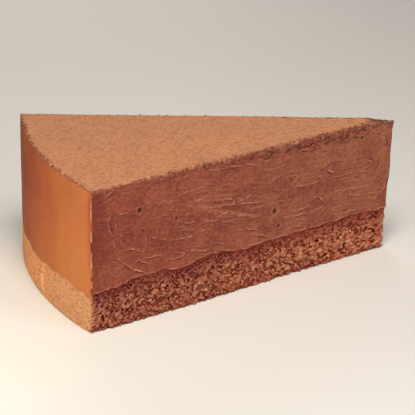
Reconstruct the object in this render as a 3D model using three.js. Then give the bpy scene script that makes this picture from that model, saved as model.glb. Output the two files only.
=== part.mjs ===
// A slice of chocolate mousse cake: a porous chocolate sponge base, a layer of set mousse and a dusting of cocoa.
// Millimetres, +Z up. The tip points along +X, the moulded rim is on the -X side and the base rests on z = 0.
import * as THREE from "three";
import { ImprovedNoise } from "three/addons/math/ImprovedNoise.js";

// Driving dimensions of the whole cake and its layers
const CAKE_DIAMETER = 230;
const SLICES = 10;
const CAKE_HEIGHT = 43.5;
const SPONGE_HEIGHT = 13.1;
const COCOA_THICKNESS = 0.8;

// The tip is a narrow blunt edge that leans out a little at the top, where the cut pulled the surface down
const TIP_WIDTH = 1.6;
const TIP_OVERHANG = 1.0;
const TIP_DROOP = 0.9;
const TIP_REACH = 9;

// The slice rests on a flat three-cornered patch, and its crumbly lower edge rises a little round it
const FOOT_INSET = 2.5;
const EDGE_RISE = 0.3;

// Depth of the relief: knife smears on the mousse, crags in the crumb, waves in the edges of the layers
const SMEAR_DEPTH = 0.45;
const RIDGE_DEPTH = 0.3;
const CRAG_DEPTH = 1.1;
const RIM_CRAG_DEPTH = 0.5;
const SEAM_WAVE = 0.7;
const TOP_WAVE = 0.25;
const CHIP_DEPTH = 0.6;
const CORNER_FADE = 4;

// Fields of noise: the period along a face, the period up it and the slice of noise that the field is cut from
const FIELDS = {
  seam: { along: 13, up: 1, slice: 2.4 },
  topEdge: { along: 17, up: 1, slice: 31.7 },
  coarseCrumb: { along: 5.3, up: 4.1, slice: 5.2 },
  fineCrumb: { along: 2.7, up: 2.5, slice: 19.6 },
  smear: { along: 16, up: 8, slice: 3.1 },
  ridge: { along: 11, up: 2.9, slice: 8.7 },
  chip: { along: 3.4, up: 1, slice: 44.1 },
  powder: { along: 19, up: 15, slice: 57.3 },
};
const SIDE_SHIFT = 11.3;

// Facets along each face and up each layer
const CUT_STEPS = 60;
const HALF_RIM_STEPS = 18;
const SPONGE_ROWS = 7;
const MOUSSE_ROWS = 14;
const COCOA_ROWS = 2;
const COCOA_LANES = 4;

const RIM_RADIUS = CAKE_DIAMETER / 2;
const HALF_ANGLE = Math.PI / SLICES;
const TIP_X = (RIM_RADIUS - TIP_OVERHANG) / 2;
const MOUSSE_TOP = CAKE_HEIGHT - COCOA_THICKNESS;
const NEAR_SIDE = -1;
const FAR_SIDE = 1;

const { smoothstep, lerp } = THREE.MathUtils;
const perlin = new ImprovedNoise();

// Smooth noise from -1 to 1. Each side of the slice has its own, so that the two cut faces don't mirror each other.
function noise(field, along, up = 0, side = 0) {
  return perlin.noise(along / field.along, up / field.up, field.slice + SIDE_SHIFT * side);
}

// One half of the outline as stations from the middle of the rim round the corner to the tip.
// A station holds its place, its outward normal, the face that it is on, its distance along that face,
// its side and how much of the relief it takes, which fades out at the corners.
function halfOutline(side) {
  const stations = [];
  for (let i = 0; i < HALF_RIM_STEPS; i++) {
    const angle = (HALF_ANGLE * i) / HALF_RIM_STEPS;
    const normal = new THREE.Vector2(-Math.cos(angle), side * Math.sin(angle));
    stations.push({
      place: new THREE.Vector2(TIP_X, 0).addScaledVector(normal, RIM_RADIUS),
      normal,
      face: "rim",
      along: side * RIM_RADIUS * angle,
      side,
      fade: smoothstep(RIM_RADIUS * (HALF_ANGLE - angle), 0, CORNER_FADE),
    });
  }
  const corner = new THREE.Vector2(
    TIP_X - RIM_RADIUS * Math.cos(HALF_ANGLE),
    side * RIM_RADIUS * Math.sin(HALF_ANGLE),
  );
  const tip = new THREE.Vector2(TIP_X, (side * TIP_WIDTH) / 2);
  const run = tip.clone().sub(corner);
  const length = run.length();
  const normal = new THREE.Vector2(-side * run.y, side * run.x).divideScalar(length);
  for (let i = 0; i <= CUT_STEPS; i++) {
    const share = i / CUT_STEPS;
    stations.push({
      place: corner.clone().addScaledVector(run, share),
      normal,
      face: "cut",
      along: length * share,
      side,
      fade: smoothstep(length * Math.min(share, 1 - share), 0, CORNER_FADE),
    });
  }
  return stations;
}

const NEAR = halfOutline(NEAR_SIDE);
const FAR = halfOutline(FAR_SIDE);

// The closed outline, anticlockwise from above: along the near half to the tip, then back along the far half.
const LOOP = [...NEAR, ...FAR.slice(1).reverse()];

// Height of the line between sponge and mousse at a station.
function seamHeight(station) {
  return SPONGE_HEIGHT + SEAM_WAVE * noise(FIELDS.seam, station.along, 0, station.side);
}

// How far a station lies within the stretch that the tip's droop and overhang reach, from 0 to 1.
function nearTip(station) {
  return 1 - smoothstep(TIP_X - station.place.x, 0, TIP_REACH);
}

// Height of the mousse's top edge at a station.
function topHeight(station) {
  const wave = noise(FIELDS.topEdge, station.along, 0, station.side) - 1;
  return MOUSSE_TOP - TIP_DROOP * nearTip(station) + TOP_WAVE * wave;
}

// Relief of the crumb, outwards at a station and a height: crags of two sizes, set back from the flat face.
function spongeRelief(station, z) {
  const depth = station.face === "cut" ? CRAG_DEPTH : RIM_CRAG_DEPTH;
  const coarse = noise(FIELDS.coarseCrumb, station.along, z, station.side);
  const fine = noise(FIELDS.fineCrumb, station.along, z, station.side);
  return -0.4 * depth * (1 + coarse + fine);
}

// Relief of the mousse: broad smears with narrower ridges that run along the cut, and none on the moulded rim.
function mousseRelief(station, z) {
  if (station.face === "rim") return 0;
  const smear = noise(FIELDS.smear, station.along, z, station.side);
  const ridge = noise(FIELDS.ridge, station.along, z, station.side);
  return SMEAR_DEPTH * (smear - 0.4) + RIDGE_DEPTH * ridge;
}

// Relief of the cocoa's edge: chips along the cut.
function cocoaRelief(station) {
  if (station.face === "rim") return 0;
  return -CHIP_DEPTH * Math.max(0, 0.2 + noise(FIELDS.chip, station.along, 0, station.side));
}

// A station's point at a height, moved outwards by its relief and leaned at the tip.
function wallPoint(station, z, relief) {
  const moved = station.place.clone().addScaledVector(station.normal, relief * station.fade);
  const lean = TIP_OVERHANG * nearTip(station) * (z / CAKE_HEIGHT);
  return new THREE.Vector3(moved.x + lean, moved.y, z);
}

// The loops that two neighbouring layers share, so that they meet face to face.
const seamLoop = LOOP.map((s) => wallPoint(s, seamHeight(s), spongeRelief(s, SPONGE_HEIGHT) / 2));
const topLoop = LOOP.map((s) => wallPoint(s, topHeight(s), mousseRelief(s, MOUSSE_TOP)));

// Rows of a layer's wall from its lower loop to its upper one.
function wallRows(lower, upper, rows, relief) {
  const between = Array.from({ length: rows - 1 }, (_, row) =>
    LOOP.map((station, i) => {
      const z = lerp(lower[i].z, upper[i].z, (row + 1) / rows);
      return wallPoint(station, z, relief(station, z));
    }),
  );
  return [lower, ...between, upper];
}

// Points across a loop, from the near half to the far half, with lanes of points between them.
// lift raises a point of a lane above the straight line between the two halves. At the tip the lanes
// close on its two corners.
function capGrid(loop, lanes, lift) {
  const last = NEAR.length - 1;
  const farIndex = (k) => (k === 0 ? 0 : loop.length - k);
  return Array.from({ length: last + 1 }, (_, k) =>
    Array.from({ length: lanes + 1 }, (_, lane) => {
      const share = k === last ? Math.round(lane / lanes) : lane / lanes;
      const point = loop[k].clone().lerp(loop[farIndex(k)], share);
      const raised = k === 0 ? 0 : lift(point) * 4 * share * (1 - share);
      return point.setZ(point.z + raised);
    }),
  );
}

// Pushes the two triangles of a quad, leaving out one that has no area.
function pushQuad(triangles, a, b, c, d) {
  for (const [p, q, r] of [
    [a, b, c],
    [a, c, d],
  ]) {
    const area = q.clone().sub(p).cross(r.clone().sub(p)).length();
    if (area > 0) triangles.push(p, q, r);
  }
}

// Pushes a cap's quads. Both ways of facing split a quad along the same diagonal, so that two layers match.
function pushCap(triangles, grid, upwards) {
  for (let k = 0; k < grid.length - 1; k++) {
    for (let lane = 0; lane < grid[k].length - 1; lane++) {
      const [a, b, c, d] = [grid[k][lane], grid[k + 1][lane], grid[k + 1][lane + 1], grid[k][lane + 1]];
      if (upwards) pushQuad(triangles, a, b, c, d);
      else pushQuad(triangles, a, d, c, b);
    }
  }
}

// Pushes the plain underside of a layer that lies on another.
function pushUnderside(triangles, loop) {
  const grid = capGrid(loop, 1, () => 0);
  pushCap(triangles, grid, false);
}

// Pushes the sponge's underside: a flat patch with its corners near the tip and the rim's two corners,
// and fans from those corners out to the lower edge.
function pushFoot(triangles, loop) {
  const inset = FOOT_INSET / Math.sin(HALF_ANGLE);
  const rimX = TIP_X - RIM_RADIUS * Math.cos(HALF_ANGLE) + FOOT_INSET;
  const rimY = (TIP_X - inset - rimX) * Math.tan(HALF_ANGLE);
  const nearCorner = new THREE.Vector3(rimX, -rimY, 0);
  const tipCorner = new THREE.Vector3(TIP_X - inset, 0, 0);
  const farCorner = new THREE.Vector3(rimX, rimY, 0);
  const nearMiddle = HALF_RIM_STEPS + CUT_STEPS / 2;
  const farMiddle = loop.length - nearMiddle;
  const cornerFor = (i) => {
    if (i < nearMiddle) return nearCorner;
    return i < farMiddle ? tipCorner : farCorner;
  };
  loop.forEach((point, i) => {
    const before = cornerFor((i + loop.length - 1) % loop.length);
    const after = cornerFor(i);
    if (before !== after) triangles.push(point, before, after);
    triangles.push(point, after, loop[(i + 1) % loop.length]);
  });
  triangles.push(nearCorner, farCorner, tipCorner);
}

// A closed layer from its wall's rows, with its own kind of underside and a cap of lanes above.
function layerGeometry(rows, pushBelow, topLanes = 1, topLift = () => 0) {
  const triangles = [];
  for (let row = 0; row < rows.length - 1; row++) {
    LOOP.forEach((_, i) => {
      const next = (i + 1) % LOOP.length;
      pushQuad(triangles, rows[row][i], rows[row][next], rows[row + 1][next], rows[row + 1][i]);
    });
  }
  pushBelow(triangles, rows[0]);
  pushCap(triangles, capGrid(rows[rows.length - 1], topLanes, topLift), true);
  const geometry = new THREE.BufferGeometry().setFromPoints(triangles);
  geometry.computeVertexNormals();
  return geometry;
}

function cakeLayer(name, geometry, colour, roughness) {
  const material = new THREE.MeshStandardMaterial({ color: colour, roughness, metalness: 0 });
  const mesh = new THREE.Mesh(geometry, material);
  mesh.name = name;
  return mesh;
}

function spongeBase() {
  const lowerEdge = LOOP.map((s) => wallPoint(s, EDGE_RISE, spongeRelief(s, EDGE_RISE)));
  const rows = wallRows(lowerEdge, seamLoop, SPONGE_ROWS, spongeRelief);
  return cakeLayer("sponge_base", layerGeometry(rows, pushFoot), "#8a5540", 0.95);
}

function mousseLayer() {
  const rows = wallRows(seamLoop, topLoop, MOUSSE_ROWS, mousseRelief);
  return cakeLayer("mousse_layer", layerGeometry(rows, pushUnderside), "#93503a", 0.55);
}

function cocoaDusting() {
  const upperLoop = LOOP.map((s) => wallPoint(s, topHeight(s) + COCOA_THICKNESS, cocoaRelief(s)));
  const rows = wallRows(topLoop, upperLoop, COCOA_ROWS, cocoaRelief);
  const powderWave = (point) => TOP_WAVE * (1 + noise(FIELDS.powder, point.x, point.y));
  const geometry = layerGeometry(rows, pushUnderside, COCOA_LANES, powderWave);
  return cakeLayer("cocoa_dusting", geometry, "#c4875f", 1);
}

const slice = new THREE.Group();
slice.name = "chocolate_mousse_cake_slice";
slice.add(spongeBase(), mousseLayer(), cocoaDusting());

export default slice;
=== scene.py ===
"""A slice of chocolate mousse cake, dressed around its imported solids.

Sizes are in millimetres, and a mesh is turned into metres when it is made. A crumbly sponge, a mousse
with the marks of the knife and a dusting of cocoa stand for the three solids.
"""

from __future__ import annotations

import itertools
import logging
import math
from dataclasses import dataclass
from enum import Enum
from typing import Union

import bmesh
import bpy
import numpy as np
from mathutils import Matrix, Vector


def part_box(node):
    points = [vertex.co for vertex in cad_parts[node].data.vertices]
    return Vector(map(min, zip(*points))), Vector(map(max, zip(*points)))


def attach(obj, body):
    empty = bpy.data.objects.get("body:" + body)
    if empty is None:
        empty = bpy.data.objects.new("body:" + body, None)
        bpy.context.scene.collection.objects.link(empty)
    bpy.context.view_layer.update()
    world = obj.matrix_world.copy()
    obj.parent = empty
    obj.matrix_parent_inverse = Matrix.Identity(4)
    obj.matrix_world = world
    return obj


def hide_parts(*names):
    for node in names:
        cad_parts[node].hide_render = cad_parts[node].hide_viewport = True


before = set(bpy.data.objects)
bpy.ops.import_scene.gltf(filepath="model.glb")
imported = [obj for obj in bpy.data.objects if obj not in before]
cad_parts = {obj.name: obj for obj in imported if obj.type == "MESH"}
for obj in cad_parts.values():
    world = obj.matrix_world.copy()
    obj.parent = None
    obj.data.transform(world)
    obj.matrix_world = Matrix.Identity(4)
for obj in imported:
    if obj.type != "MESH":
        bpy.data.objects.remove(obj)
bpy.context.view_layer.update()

LOG = logging.getLogger("mousse_cake_slice")
MM = 0.001
BODY = "root"
PHOTO_SIDE = 415

Array = np.ndarray
Node = bpy.types.Node
Socket = bpy.types.NodeSocket
Feed = Union[float, tuple, Socket]


class Side(Enum):
    """The two cut sides of the slice, by the sign of their Y."""

    NEAR = -1
    FAR = 1


class Mark(Enum):
    """What a knife's stroke leaves: a raised lip or a thin groove."""

    LIP = 1.0
    GROOVE = -1.0


class Slot(Enum):
    """The record's material slots."""

    SPONGE = "chocolate_sponge"
    MOUSSE = "chocolate_mousse"
    COCOA = "cocoa_powder"


def ease(value: Array | float, low: float, high: float) -> Array:
    """Smooth step from 0 at low to 1 at high, which may be below low."""
    share = np.clip((value - low) / (high - low), 0.0, 1.0)
    return share * share * (3.0 - 2.0 * share)


def bell(distance: Array, width: float) -> Array:
    """A bell curve, 1 at no distance."""
    return np.exp(-((distance / width) ** 2))


class ReliefNoise:
    """Seeded gradient noise over arrays of points, from about -1 to 1.

    A plain number as a coordinate picks a slice of the noise, so that each use has its own pattern.
    """

    CELLS = 256
    GAIN = 1.7
    OCTAVE_SHIFT = 17.3

    def __init__(self, seed: int) -> None:
        """Draws the lattice.

        Args:
            seed: Picks the lattice's order and gradients.
        """
        draw = np.random.default_rng(seed)
        gradients = draw.normal(size=(self.CELLS, 3))
        self.gradients = gradients / np.linalg.norm(gradients, axis=1, keepdims=True)
        self.order = draw.permutation(self.CELLS)

    def at(self, x: Array, y: Array, z: Array | float = 0.0) -> Array:
        """Noise of one size.

        Args:
            x: First coordinate, in lattice cells.
            y: Second coordinate.
            z: Third coordinate.

        Returns:
            The noise at each point.
        """
        point = np.broadcast_arrays(*(np.asarray(c, float) for c in (x, y, z)))
        cell = [np.floor(c).astype(int) for c in point]
        inside = [c - f for c, f in zip(point, cell)]
        fade = [s**3 * (s * (s * 6.0 - 15.0) + 10.0) for s in inside]
        total = np.zeros(point[0].shape)
        for corner in itertools.product((0, 1), repeat=3):
            index = np.zeros(point[0].shape, int)
            for axis in range(3):
                index = self.order[(index + cell[axis] + corner[axis]) % self.CELLS]
            part = np.zeros(point[0].shape)
            weight = np.ones(point[0].shape)
            for axis in range(3):
                part += self.gradients[index, axis] * (inside[axis] - corner[axis])
                weight *= fade[axis] if corner[axis] else 1.0 - fade[axis]
            total += weight * part
        return self.GAIN * total

    def layered(self, x: Array, y: Array, z: Array | float = 0.0, octaves: int = 3) -> Array:
        """Noise of several sizes, each half the one before.

        Args:
            x: First coordinate, in lattice cells of the largest size.
            y: Second coordinate.
            z: Third coordinate.
            octaves: How many sizes are added.

        Returns:
            The summed noise at each point.
        """
        total = 0.0
        for octave in range(octaves):
            size = 2.0**octave
            shift = octave * self.OCTAVE_SHIFT
            total = total + self.at(x * size + shift, y * size, z * size) / size
        return total

    def over(self, size: tuple, place: tuple, plane: Array | float, octaves: int = 2) -> Array:
        """Layered noise of two or three coordinates, each with its own size, and a plane for the third."""
        x, y, z = (*(c / s for c, s in zip(place, size)), 0.0)[:3]
        return self.layered(x, y, z + plane, octaves)


@dataclass(frozen=True)
class PhotoCamera:
    """The camera at the photograph's viewing angle, fitted to the slice's corners and edges."""

    place: tuple = (-202.97, -497.08, 229.33)
    yaw_deg: float = 21.836
    pitch_deg: float = 21.338
    roll_deg: float = 2.041
    focal_px: float = 1876.3
    sensor: float = 36.0
    clip_start: float = 10.0

    def axes(self) -> tuple[Array, Array, Array]:
        """Works out where the camera points.

        Returns:
            Its right, up and forward directions.
        """
        yaw, pitch, roll = (math.radians(a) for a in (self.yaw_deg, self.pitch_deg, self.roll_deg))
        level = np.array([math.sin(yaw), math.cos(yaw), 0.0])
        forward = level * math.cos(pitch) - np.array([0.0, 0.0, math.sin(pitch)])
        flat_right = np.array([math.cos(yaw), -math.sin(yaw), 0.0])
        flat_up = np.cross(flat_right, forward)
        right = math.cos(roll) * flat_right + math.sin(roll) * flat_up
        up = math.cos(roll) * flat_up - math.sin(roll) * flat_right
        return right, up, forward

    def onto_plane(self, pixels: tuple, origin: Array, normal: Array) -> Array:
        """Carries pixels of the photograph onto a plane of the slice.

        Args:
            pixels: Pairs of pixel coordinates.
            origin: A point of the plane.
            normal: The plane's direction.

        Returns:
            A point of the plane for each pixel.
        """
        right, up, forward = self.axes()
        offset = np.asarray(pixels, float) - PHOTO_SIDE / 2
        rays = self.focal_px * forward + offset[:, :1] * right - offset[:, 1:] * up
        start = np.array(self.place)
        reach = ((origin - start) @ normal) / (rays @ normal)
        return start + reach[:, None] * rays

    def build(self) -> None:
        """Makes the camera and puts it in the scene."""
        right, up, forward = self.axes()
        data = bpy.data.cameras.new("photo_camera")
        data.sensor_width = self.sensor
        data.lens = self.focal_px / PHOTO_SIDE * self.sensor
        data.clip_start = self.clip_start * MM
        camera = bpy.data.objects.new("photo_camera", data)
        turn = Matrix((right, up, -forward)).transposed().to_4x4()
        camera.matrix_world = Matrix.Translation([c * MM for c in self.place]) @ turn
        bpy.context.scene.collection.objects.link(camera)
        bpy.context.scene.camera = camera


@dataclass(frozen=True)
class Outline:
    """Stations of the closed line round the slice, anticlockwise from above."""

    place: Array
    normal: Array
    along: Array
    side: Array
    cut: Array

    def __len__(self) -> int:
        """How many stations there are."""
        return len(self.along)


@dataclass(frozen=True)
class Wedge:
    """The slice's plan and heights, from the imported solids."""

    radius: float
    half_angle: float
    tip_x: float
    overhang: float
    height: float
    mousse_top: float
    tip_half_width: float = 0.8
    tip_reach: float = 9.0
    corner_round: float = 0.45
    corner_bulge: float = 0.6
    bulge_reach: float = 9.0
    bulge_start: float = 0.2
    round_steps: int = 6
    corner_along: float = 0.3

    @classmethod
    def from_frame(cls, slices: int = 10) -> Wedge:
        """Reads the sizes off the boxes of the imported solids.

        Args:
            slices: How many slices the whole cake was cut into.

        Returns:
            The slice's plan.
        """
        low, high = (np.array(c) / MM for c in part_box("mousse_layer"))
        cocoa_high = np.array(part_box("cocoa_dusting")[1]) / MM
        half_angle = math.pi / slices
        radius = high[1] / math.sin(half_angle)
        tip_x = low[0] + radius
        overhang = cocoa_high[0] - tip_x
        return cls(radius, half_angle, tip_x, overhang, cocoa_high[2], high[2])

    def corner(self, side: Side) -> Array:
        """Where the rim meets a cut side, in plan."""
        across = side.value * self.radius * math.sin(self.half_angle)
        return np.array([self.tip_x - self.radius * math.cos(self.half_angle), across])

    def run(self, side: Side) -> Array:
        """Direction of a cut side from the rim to the tip, in plan."""
        run = np.array([self.tip_x, side.value * self.tip_half_width]) - self.corner(side)
        return run / np.linalg.norm(run)

    def cut_normal(self, side: Side) -> Array:
        """Outward direction of a cut side, in plan."""
        run = self.run(side)
        return side.value * np.array([-run[1], run[0]])

    def along_cut(self, points: Array) -> Array:
        """Distance from the rim's corner along the nearer cut side."""
        level = np.stack([points[..., 0], np.abs(points[..., 1])], -1)
        return (level - self.corner(Side.FAR)) @ self.run(Side.FAR)

    def tip_circle(self) -> tuple[float, float]:
        """The circle that rounds the tip between the two cut sides.

        Returns:
            The X of its centre, and its radius.
        """
        run = self.run(Side.FAR)
        slope = -run[1] / run[0]
        apex = self.tip_half_width / slope
        sine = abs(run[1])
        radius = apex * sine / (1.0 - sine)
        return self.tip_x - radius, radius

    def cut_length(self) -> float:
        """Length of a cut side from the rim's corner to where the tip's rounding starts.

        Returns:
            The length.
        """
        centre, radius = self.tip_circle()
        start = np.array([centre, 0.0]) + radius * self.cut_normal(Side.FAR)
        return float((start - self.corner(Side.FAR)) @ self.run(Side.FAR))

    def near_tip(self, x: Array) -> Array:
        """How far a place lies within the reach of the tip's droop and lean, from 0 to 1."""
        return ease(self.tip_x - x, self.tip_reach, 0.0)

    def lean(self, x: Array, z: Array) -> Array:
        """How far the tip leans out at a place and a height."""
        return self.overhang * self.near_tip(x) * z / self.height

    def half_width(self, x: Array) -> Array:
        """Half the distance between the two cut sides."""
        run = self.run(Side.FAR)
        return self.tip_half_width + np.clip(self.tip_x - x, 0.0, None) * abs(run[1]) / run[0]

    def bulge(self, plan: Array, z: Array) -> Array:
        """How far the mousse swells out at the rim's corners, most at the top.

        Args:
            plan: Places in plan.
            z: Heights.

        Returns:
            The shift in plan at each place.
        """
        level = np.stack([plan[..., 0], np.abs(plan[..., 1])], -1)
        away = np.linalg.norm(level - self.corner(Side.FAR), axis=-1)
        grown = ease(z, self.bulge_start * self.height, self.height)
        out = -self.corner_bulge * bell(away, self.bulge_reach) * grown
        run = self.run(Side.FAR)
        return np.stack([out * run[0], out * run[1] * np.sign(plan[..., 1])], -1)

    def half_outline(self, side: Side, rim_step: float, cut_step: float) -> list[Array]:
        """Stations from the middle of the rim to the tip on one side.

        Args:
            side: Which half.
            rim_step: Distance between stations on the rim.
            cut_step: Distance between stations on the cut side and round the corners.

        Returns:
            Places, normals, distances along the face, sides and shares of the cut side.
        """
        sign = side.value
        corner, run, normal = self.corner(side), self.run(side), self.cut_normal(side)
        rim_end = self.half_angle - self.corner_round / self.radius
        angles = np.linspace(0.0, rim_end, round(self.radius * rim_end / rim_step), endpoint=False)
        rim_normal = np.stack([-np.cos(angles), sign * np.sin(angles)], 1)
        rim_place = np.array([self.tip_x, 0.0]) + self.radius * rim_normal
        rim_along = sign * self.radius * angles

        turns = np.linspace(0.0, math.pi / 2, self.round_steps, endpoint=False)[:, None]
        round_normal = -np.cos(turns) * run + np.sin(turns) * normal
        round_place = corner + self.corner_round * (run - normal + round_normal)

        length = self.cut_length()
        steps = round((length - self.corner_round) / cut_step)
        cut_along = np.linspace(self.corner_round, length, steps, endpoint=False)
        cut_place = corner + cut_along[:, None] * run

        centre, radius = self.tip_circle()
        start = math.atan2(normal[1], normal[0])
        bends = np.linspace(start, 0.0, self.round_steps)
        tip_normal = np.stack([np.cos(bends), np.sin(bends)], 1)
        tip_place = np.array([centre, 0.0]) + radius * tip_normal
        tip_along = length + radius * np.abs(bends - start)

        along = [rim_along, turns[:, 0] * self.corner_round * self.corner_along, cut_along, tip_along]
        cut_normal = np.tile(normal, (steps, 1))
        cut = [np.zeros(len(angles)), np.sin(turns[:, 0]) ** 2, np.ones(steps), np.ones(len(bends))]
        count = sum(len(part) for part in along)
        return [
            np.concatenate([rim_place, round_place, cut_place, tip_place]),
            np.concatenate([rim_normal, round_normal, cut_normal, tip_normal]),
            np.concatenate(along),
            np.full(count, sign),
            np.concatenate(cut),
        ]

    def outline(self, rim_step: float, near_step: float, far_step: float) -> Outline:
        """The closed outline.

        Args:
            rim_step: Distance between stations on the rim.
            near_step: Distance between stations on the near cut side.
            far_step: Distance between stations on the far cut side.

        Returns:
            The stations, from the middle of the rim along the near half and back along the far half.
        """
        near = self.half_outline(Side.NEAR, rim_step, near_step)
        far = self.half_outline(Side.FAR, rim_step, far_step)
        joined = [np.concatenate([n, f[1:-1][::-1]]) for n, f in zip(near, far)]
        return Outline(*joined)


@dataclass(frozen=True)
class LayerLines:
    """The lines in which the layers meet on the outside of the slice."""

    wedge: Wedge
    droop: float = 0.9
    near_seam: tuple = (
        (0.0, 12.1), (5.0, 12.4), (9.5, 12.4), (15.0, 13.5), (21.0, 13.2), (24.5, 13.7), (30.0, 12.9),
        (34.5, 12.8), (40.0, 13.9), (44.0, 14.2), (47.5, 14.2), (52.5, 13.2), (57.0, 13.0), (61.0, 13.5),
        (88.0, 13.7), (93.0, 13.9), (98.0, 14.4), (103.0, 14.3), (107.5, 13.8), (116.0, 13.5),
    )
    rim_seam: tuple = (
        (-36.2, 12.1), (-33.5, 11.5), (-29.0, 11.2), (-25.0, 11.6),
        (-17.0, 11.8), (-12.0, 10.8), (18.0, 10.7), (36.2, 11.8),
    )
    far_seam: float = 13.3
    far_rise: float = 14.0
    seam_wave: float = 0.5
    wave_size: float = 12.0
    wave_start: float = 5.0
    ragged: float = 0.32
    ragged_size: float = 2.6
    ragged_start: float = 3.0
    rim_wave: float = 0.25
    rim_wave_size: float = 9.0
    rim_ragged: float = 0.64
    rim_start: float = 6.0
    skin: float = 0.4
    swell_room: float = 0.15
    torn_band: float = 1.55
    torn_by_rim: float = 0.38
    torn_growth: tuple = ((24.0, 50.0, 0.3), (50.0, 80.0, 0.32))
    torn_uneven: tuple = ((5.0, 0.5, 65.5), (1.4, 0.4, 75.5))
    torn_limits: tuple = (0.35, 1.55)
    tip_mend: float = 0.8
    tip_mend_span: tuple = (9.0, 3.0)
    top_wave: float = 0.3
    top_wave_size: float = 7.0
    noise: ReliefNoise = ReliefNoise(11)

    def seam(self, along: Array, side: Array, cut: Array) -> Array:
        """Height of the line between sponge and mousse.

        Args:
            along: Distance along the face.
            side: Sign of the side.
            cut: 1 on a cut side and 0 on the rim.

        Returns:
            The height at each place.
        """
        knots = np.array(self.near_seam)
        near = np.interp(along, knots[:, 0], knots[:, 1])
        wave = self.noise.at(along / self.wave_size, 0.5 + 3.0 * side)
        fine = self.noise.layered(along / self.ragged_size, 7.5 + 3.0 * side)
        rim = np.array(self.rim_seam)
        far = rim[-1, 1] + (self.far_seam - rim[-1, 1]) * ease(along, 0.0, self.far_rise)
        far = far + self.seam_wave * wave * ease(along, 0.0, self.wave_start)
        on_cut = np.where(side < 0, near, far) + self.ragged * fine * ease(along, 0.0, self.ragged_start)
        span = self.wedge.radius * self.wedge.half_angle
        to_corner = ease(span - np.abs(along), 0.0, self.rim_start)
        rim_wave = self.rim_wave * self.noise.at(along / self.rim_wave_size, 20.5)
        rim_wave = rim_wave + self.rim_ragged * self.noise.layered(along / self.ragged_size, 25.5)
        on_rim = np.interp(along, rim[:, 0], rim[:, 1]) + rim_wave * to_corner
        return np.where(cut > 0.0, on_cut, on_rim)

    def torn(self, along: Array, cut: Array) -> Array:
        """How deep the cut tore the top edge: little by the rim, most past the middle, little at the tip.

        Args:
            along: Distance along the face.
            cut: 1 on a cut side and 0 on the rim.

        Returns:
            The depth, as a share of the torn band.
        """
        grown = self.torn_by_rim
        for start, stop, rise in self.torn_growth:
            grown = grown + rise * ease(along, start, stop)
        uneven = 1.0
        for size, depth, plane in self.torn_uneven:
            uneven = uneven + depth * self.noise.layered(along / size, plane, octaves=2)
        mended = 1.0 - self.tip_mend * ease(self.wedge.cut_length() - along, *self.tip_mend_span)
        return cut * grown * np.clip(uneven, *self.torn_limits) * mended

    def top(self, along: Array, side: Array, cut: Array, x: Array) -> Array:
        """Height of the mousse's top edge, which is lower where the cut tore the dusting.

        Args:
            along: Distance along the face.
            side: Sign of the side.
            cut: 1 on a cut side and 0 on the rim.
            x: Place along the slice.

        Returns:
            The height at each place.
        """
        wave = self.top_wave * self.noise.layered(along / self.top_wave_size, 40.5 + 3.0 * side, octaves=3)
        band = self.torn_band * self.torn(along, cut) * (1.0 + wave)
        return self.surface(x) - self.skin - band

    def surface(self, x: Array) -> Array:
        """Height of the cocoa's smooth top, with the tip's droop."""
        return self.wedge.height - self.swell_room - self.droop * self.wedge.near_tip(x)


def make_piece(name: str, vertices: Array, faces: list, values: dict[str, Array]) -> bpy.types.Object:
    """Makes a smooth mesh object from arrays.

    Args:
        name: The piece's name.
        vertices: Places in millimetres.
        faces: Corner numbers of each face.
        values: Numbers or vectors that the materials read, for each vertex.

    Returns:
        The new object, in the scene.
    """
    mesh = bpy.data.meshes.new(name)
    mesh.from_pydata((np.asarray(vertices) * MM).tolist(), [], faces)
    for key, value in values.items():
        kind = "FLOAT_VECTOR" if value.ndim > 1 else "FLOAT"
        attribute = mesh.attributes.new(key, kind, "POINT")
        slot = "vector" if value.ndim > 1 else "value"
        attribute.data.foreach_set(slot, np.ascontiguousarray(value, np.float32).ravel())
    mesh.validate()
    mesh.shade_smooth()
    piece = bpy.data.objects.new(name, mesh)
    bpy.context.scene.collection.objects.link(piece)
    return piece


def wall_faces(rows: int, stations: int) -> list:
    """Faces of a closed wall with flat caps.

    Args:
        rows: Rows of vertices from the bottom up.
        stations: Vertices in each row.

    Returns:
        Corner numbers of each face.
    """
    numbers = np.arange(rows * stations).reshape(rows, stations)
    ahead = np.roll(numbers, -1, axis=1)
    quads = np.stack([numbers[:-1], ahead[:-1], ahead[1:], numbers[1:]], -1).reshape(-1, 4)
    return [*quads.tolist(), numbers[0, ::-1].tolist(), numbers[-1].tolist()]


def smooth_line(points: Array, steps: int = 6) -> Array:
    """A smooth line through points.

    Args:
        points: At least two points.
        steps: Pieces between two points.

    Returns:
        The points of the smooth line.
    """
    ends = np.concatenate([2 * points[:1] - points[1:2], points, 2 * points[-1:] - points[-2:-1]])
    share = np.linspace(0.0, 1.0, steps, endpoint=False)[:, None]
    parts = []
    for before, start, stop, after in zip(ends, ends[1:], ends[2:], ends[3:]):
        bend = 2 * before - 5 * start + 4 * stop - after
        twist = 3 * start - before - 3 * stop + after
        parts.append(start + 0.5 * share * (stop - before + share * (bend + share * twist)))
    return np.concatenate([*parts, points[-1:]])


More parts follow.
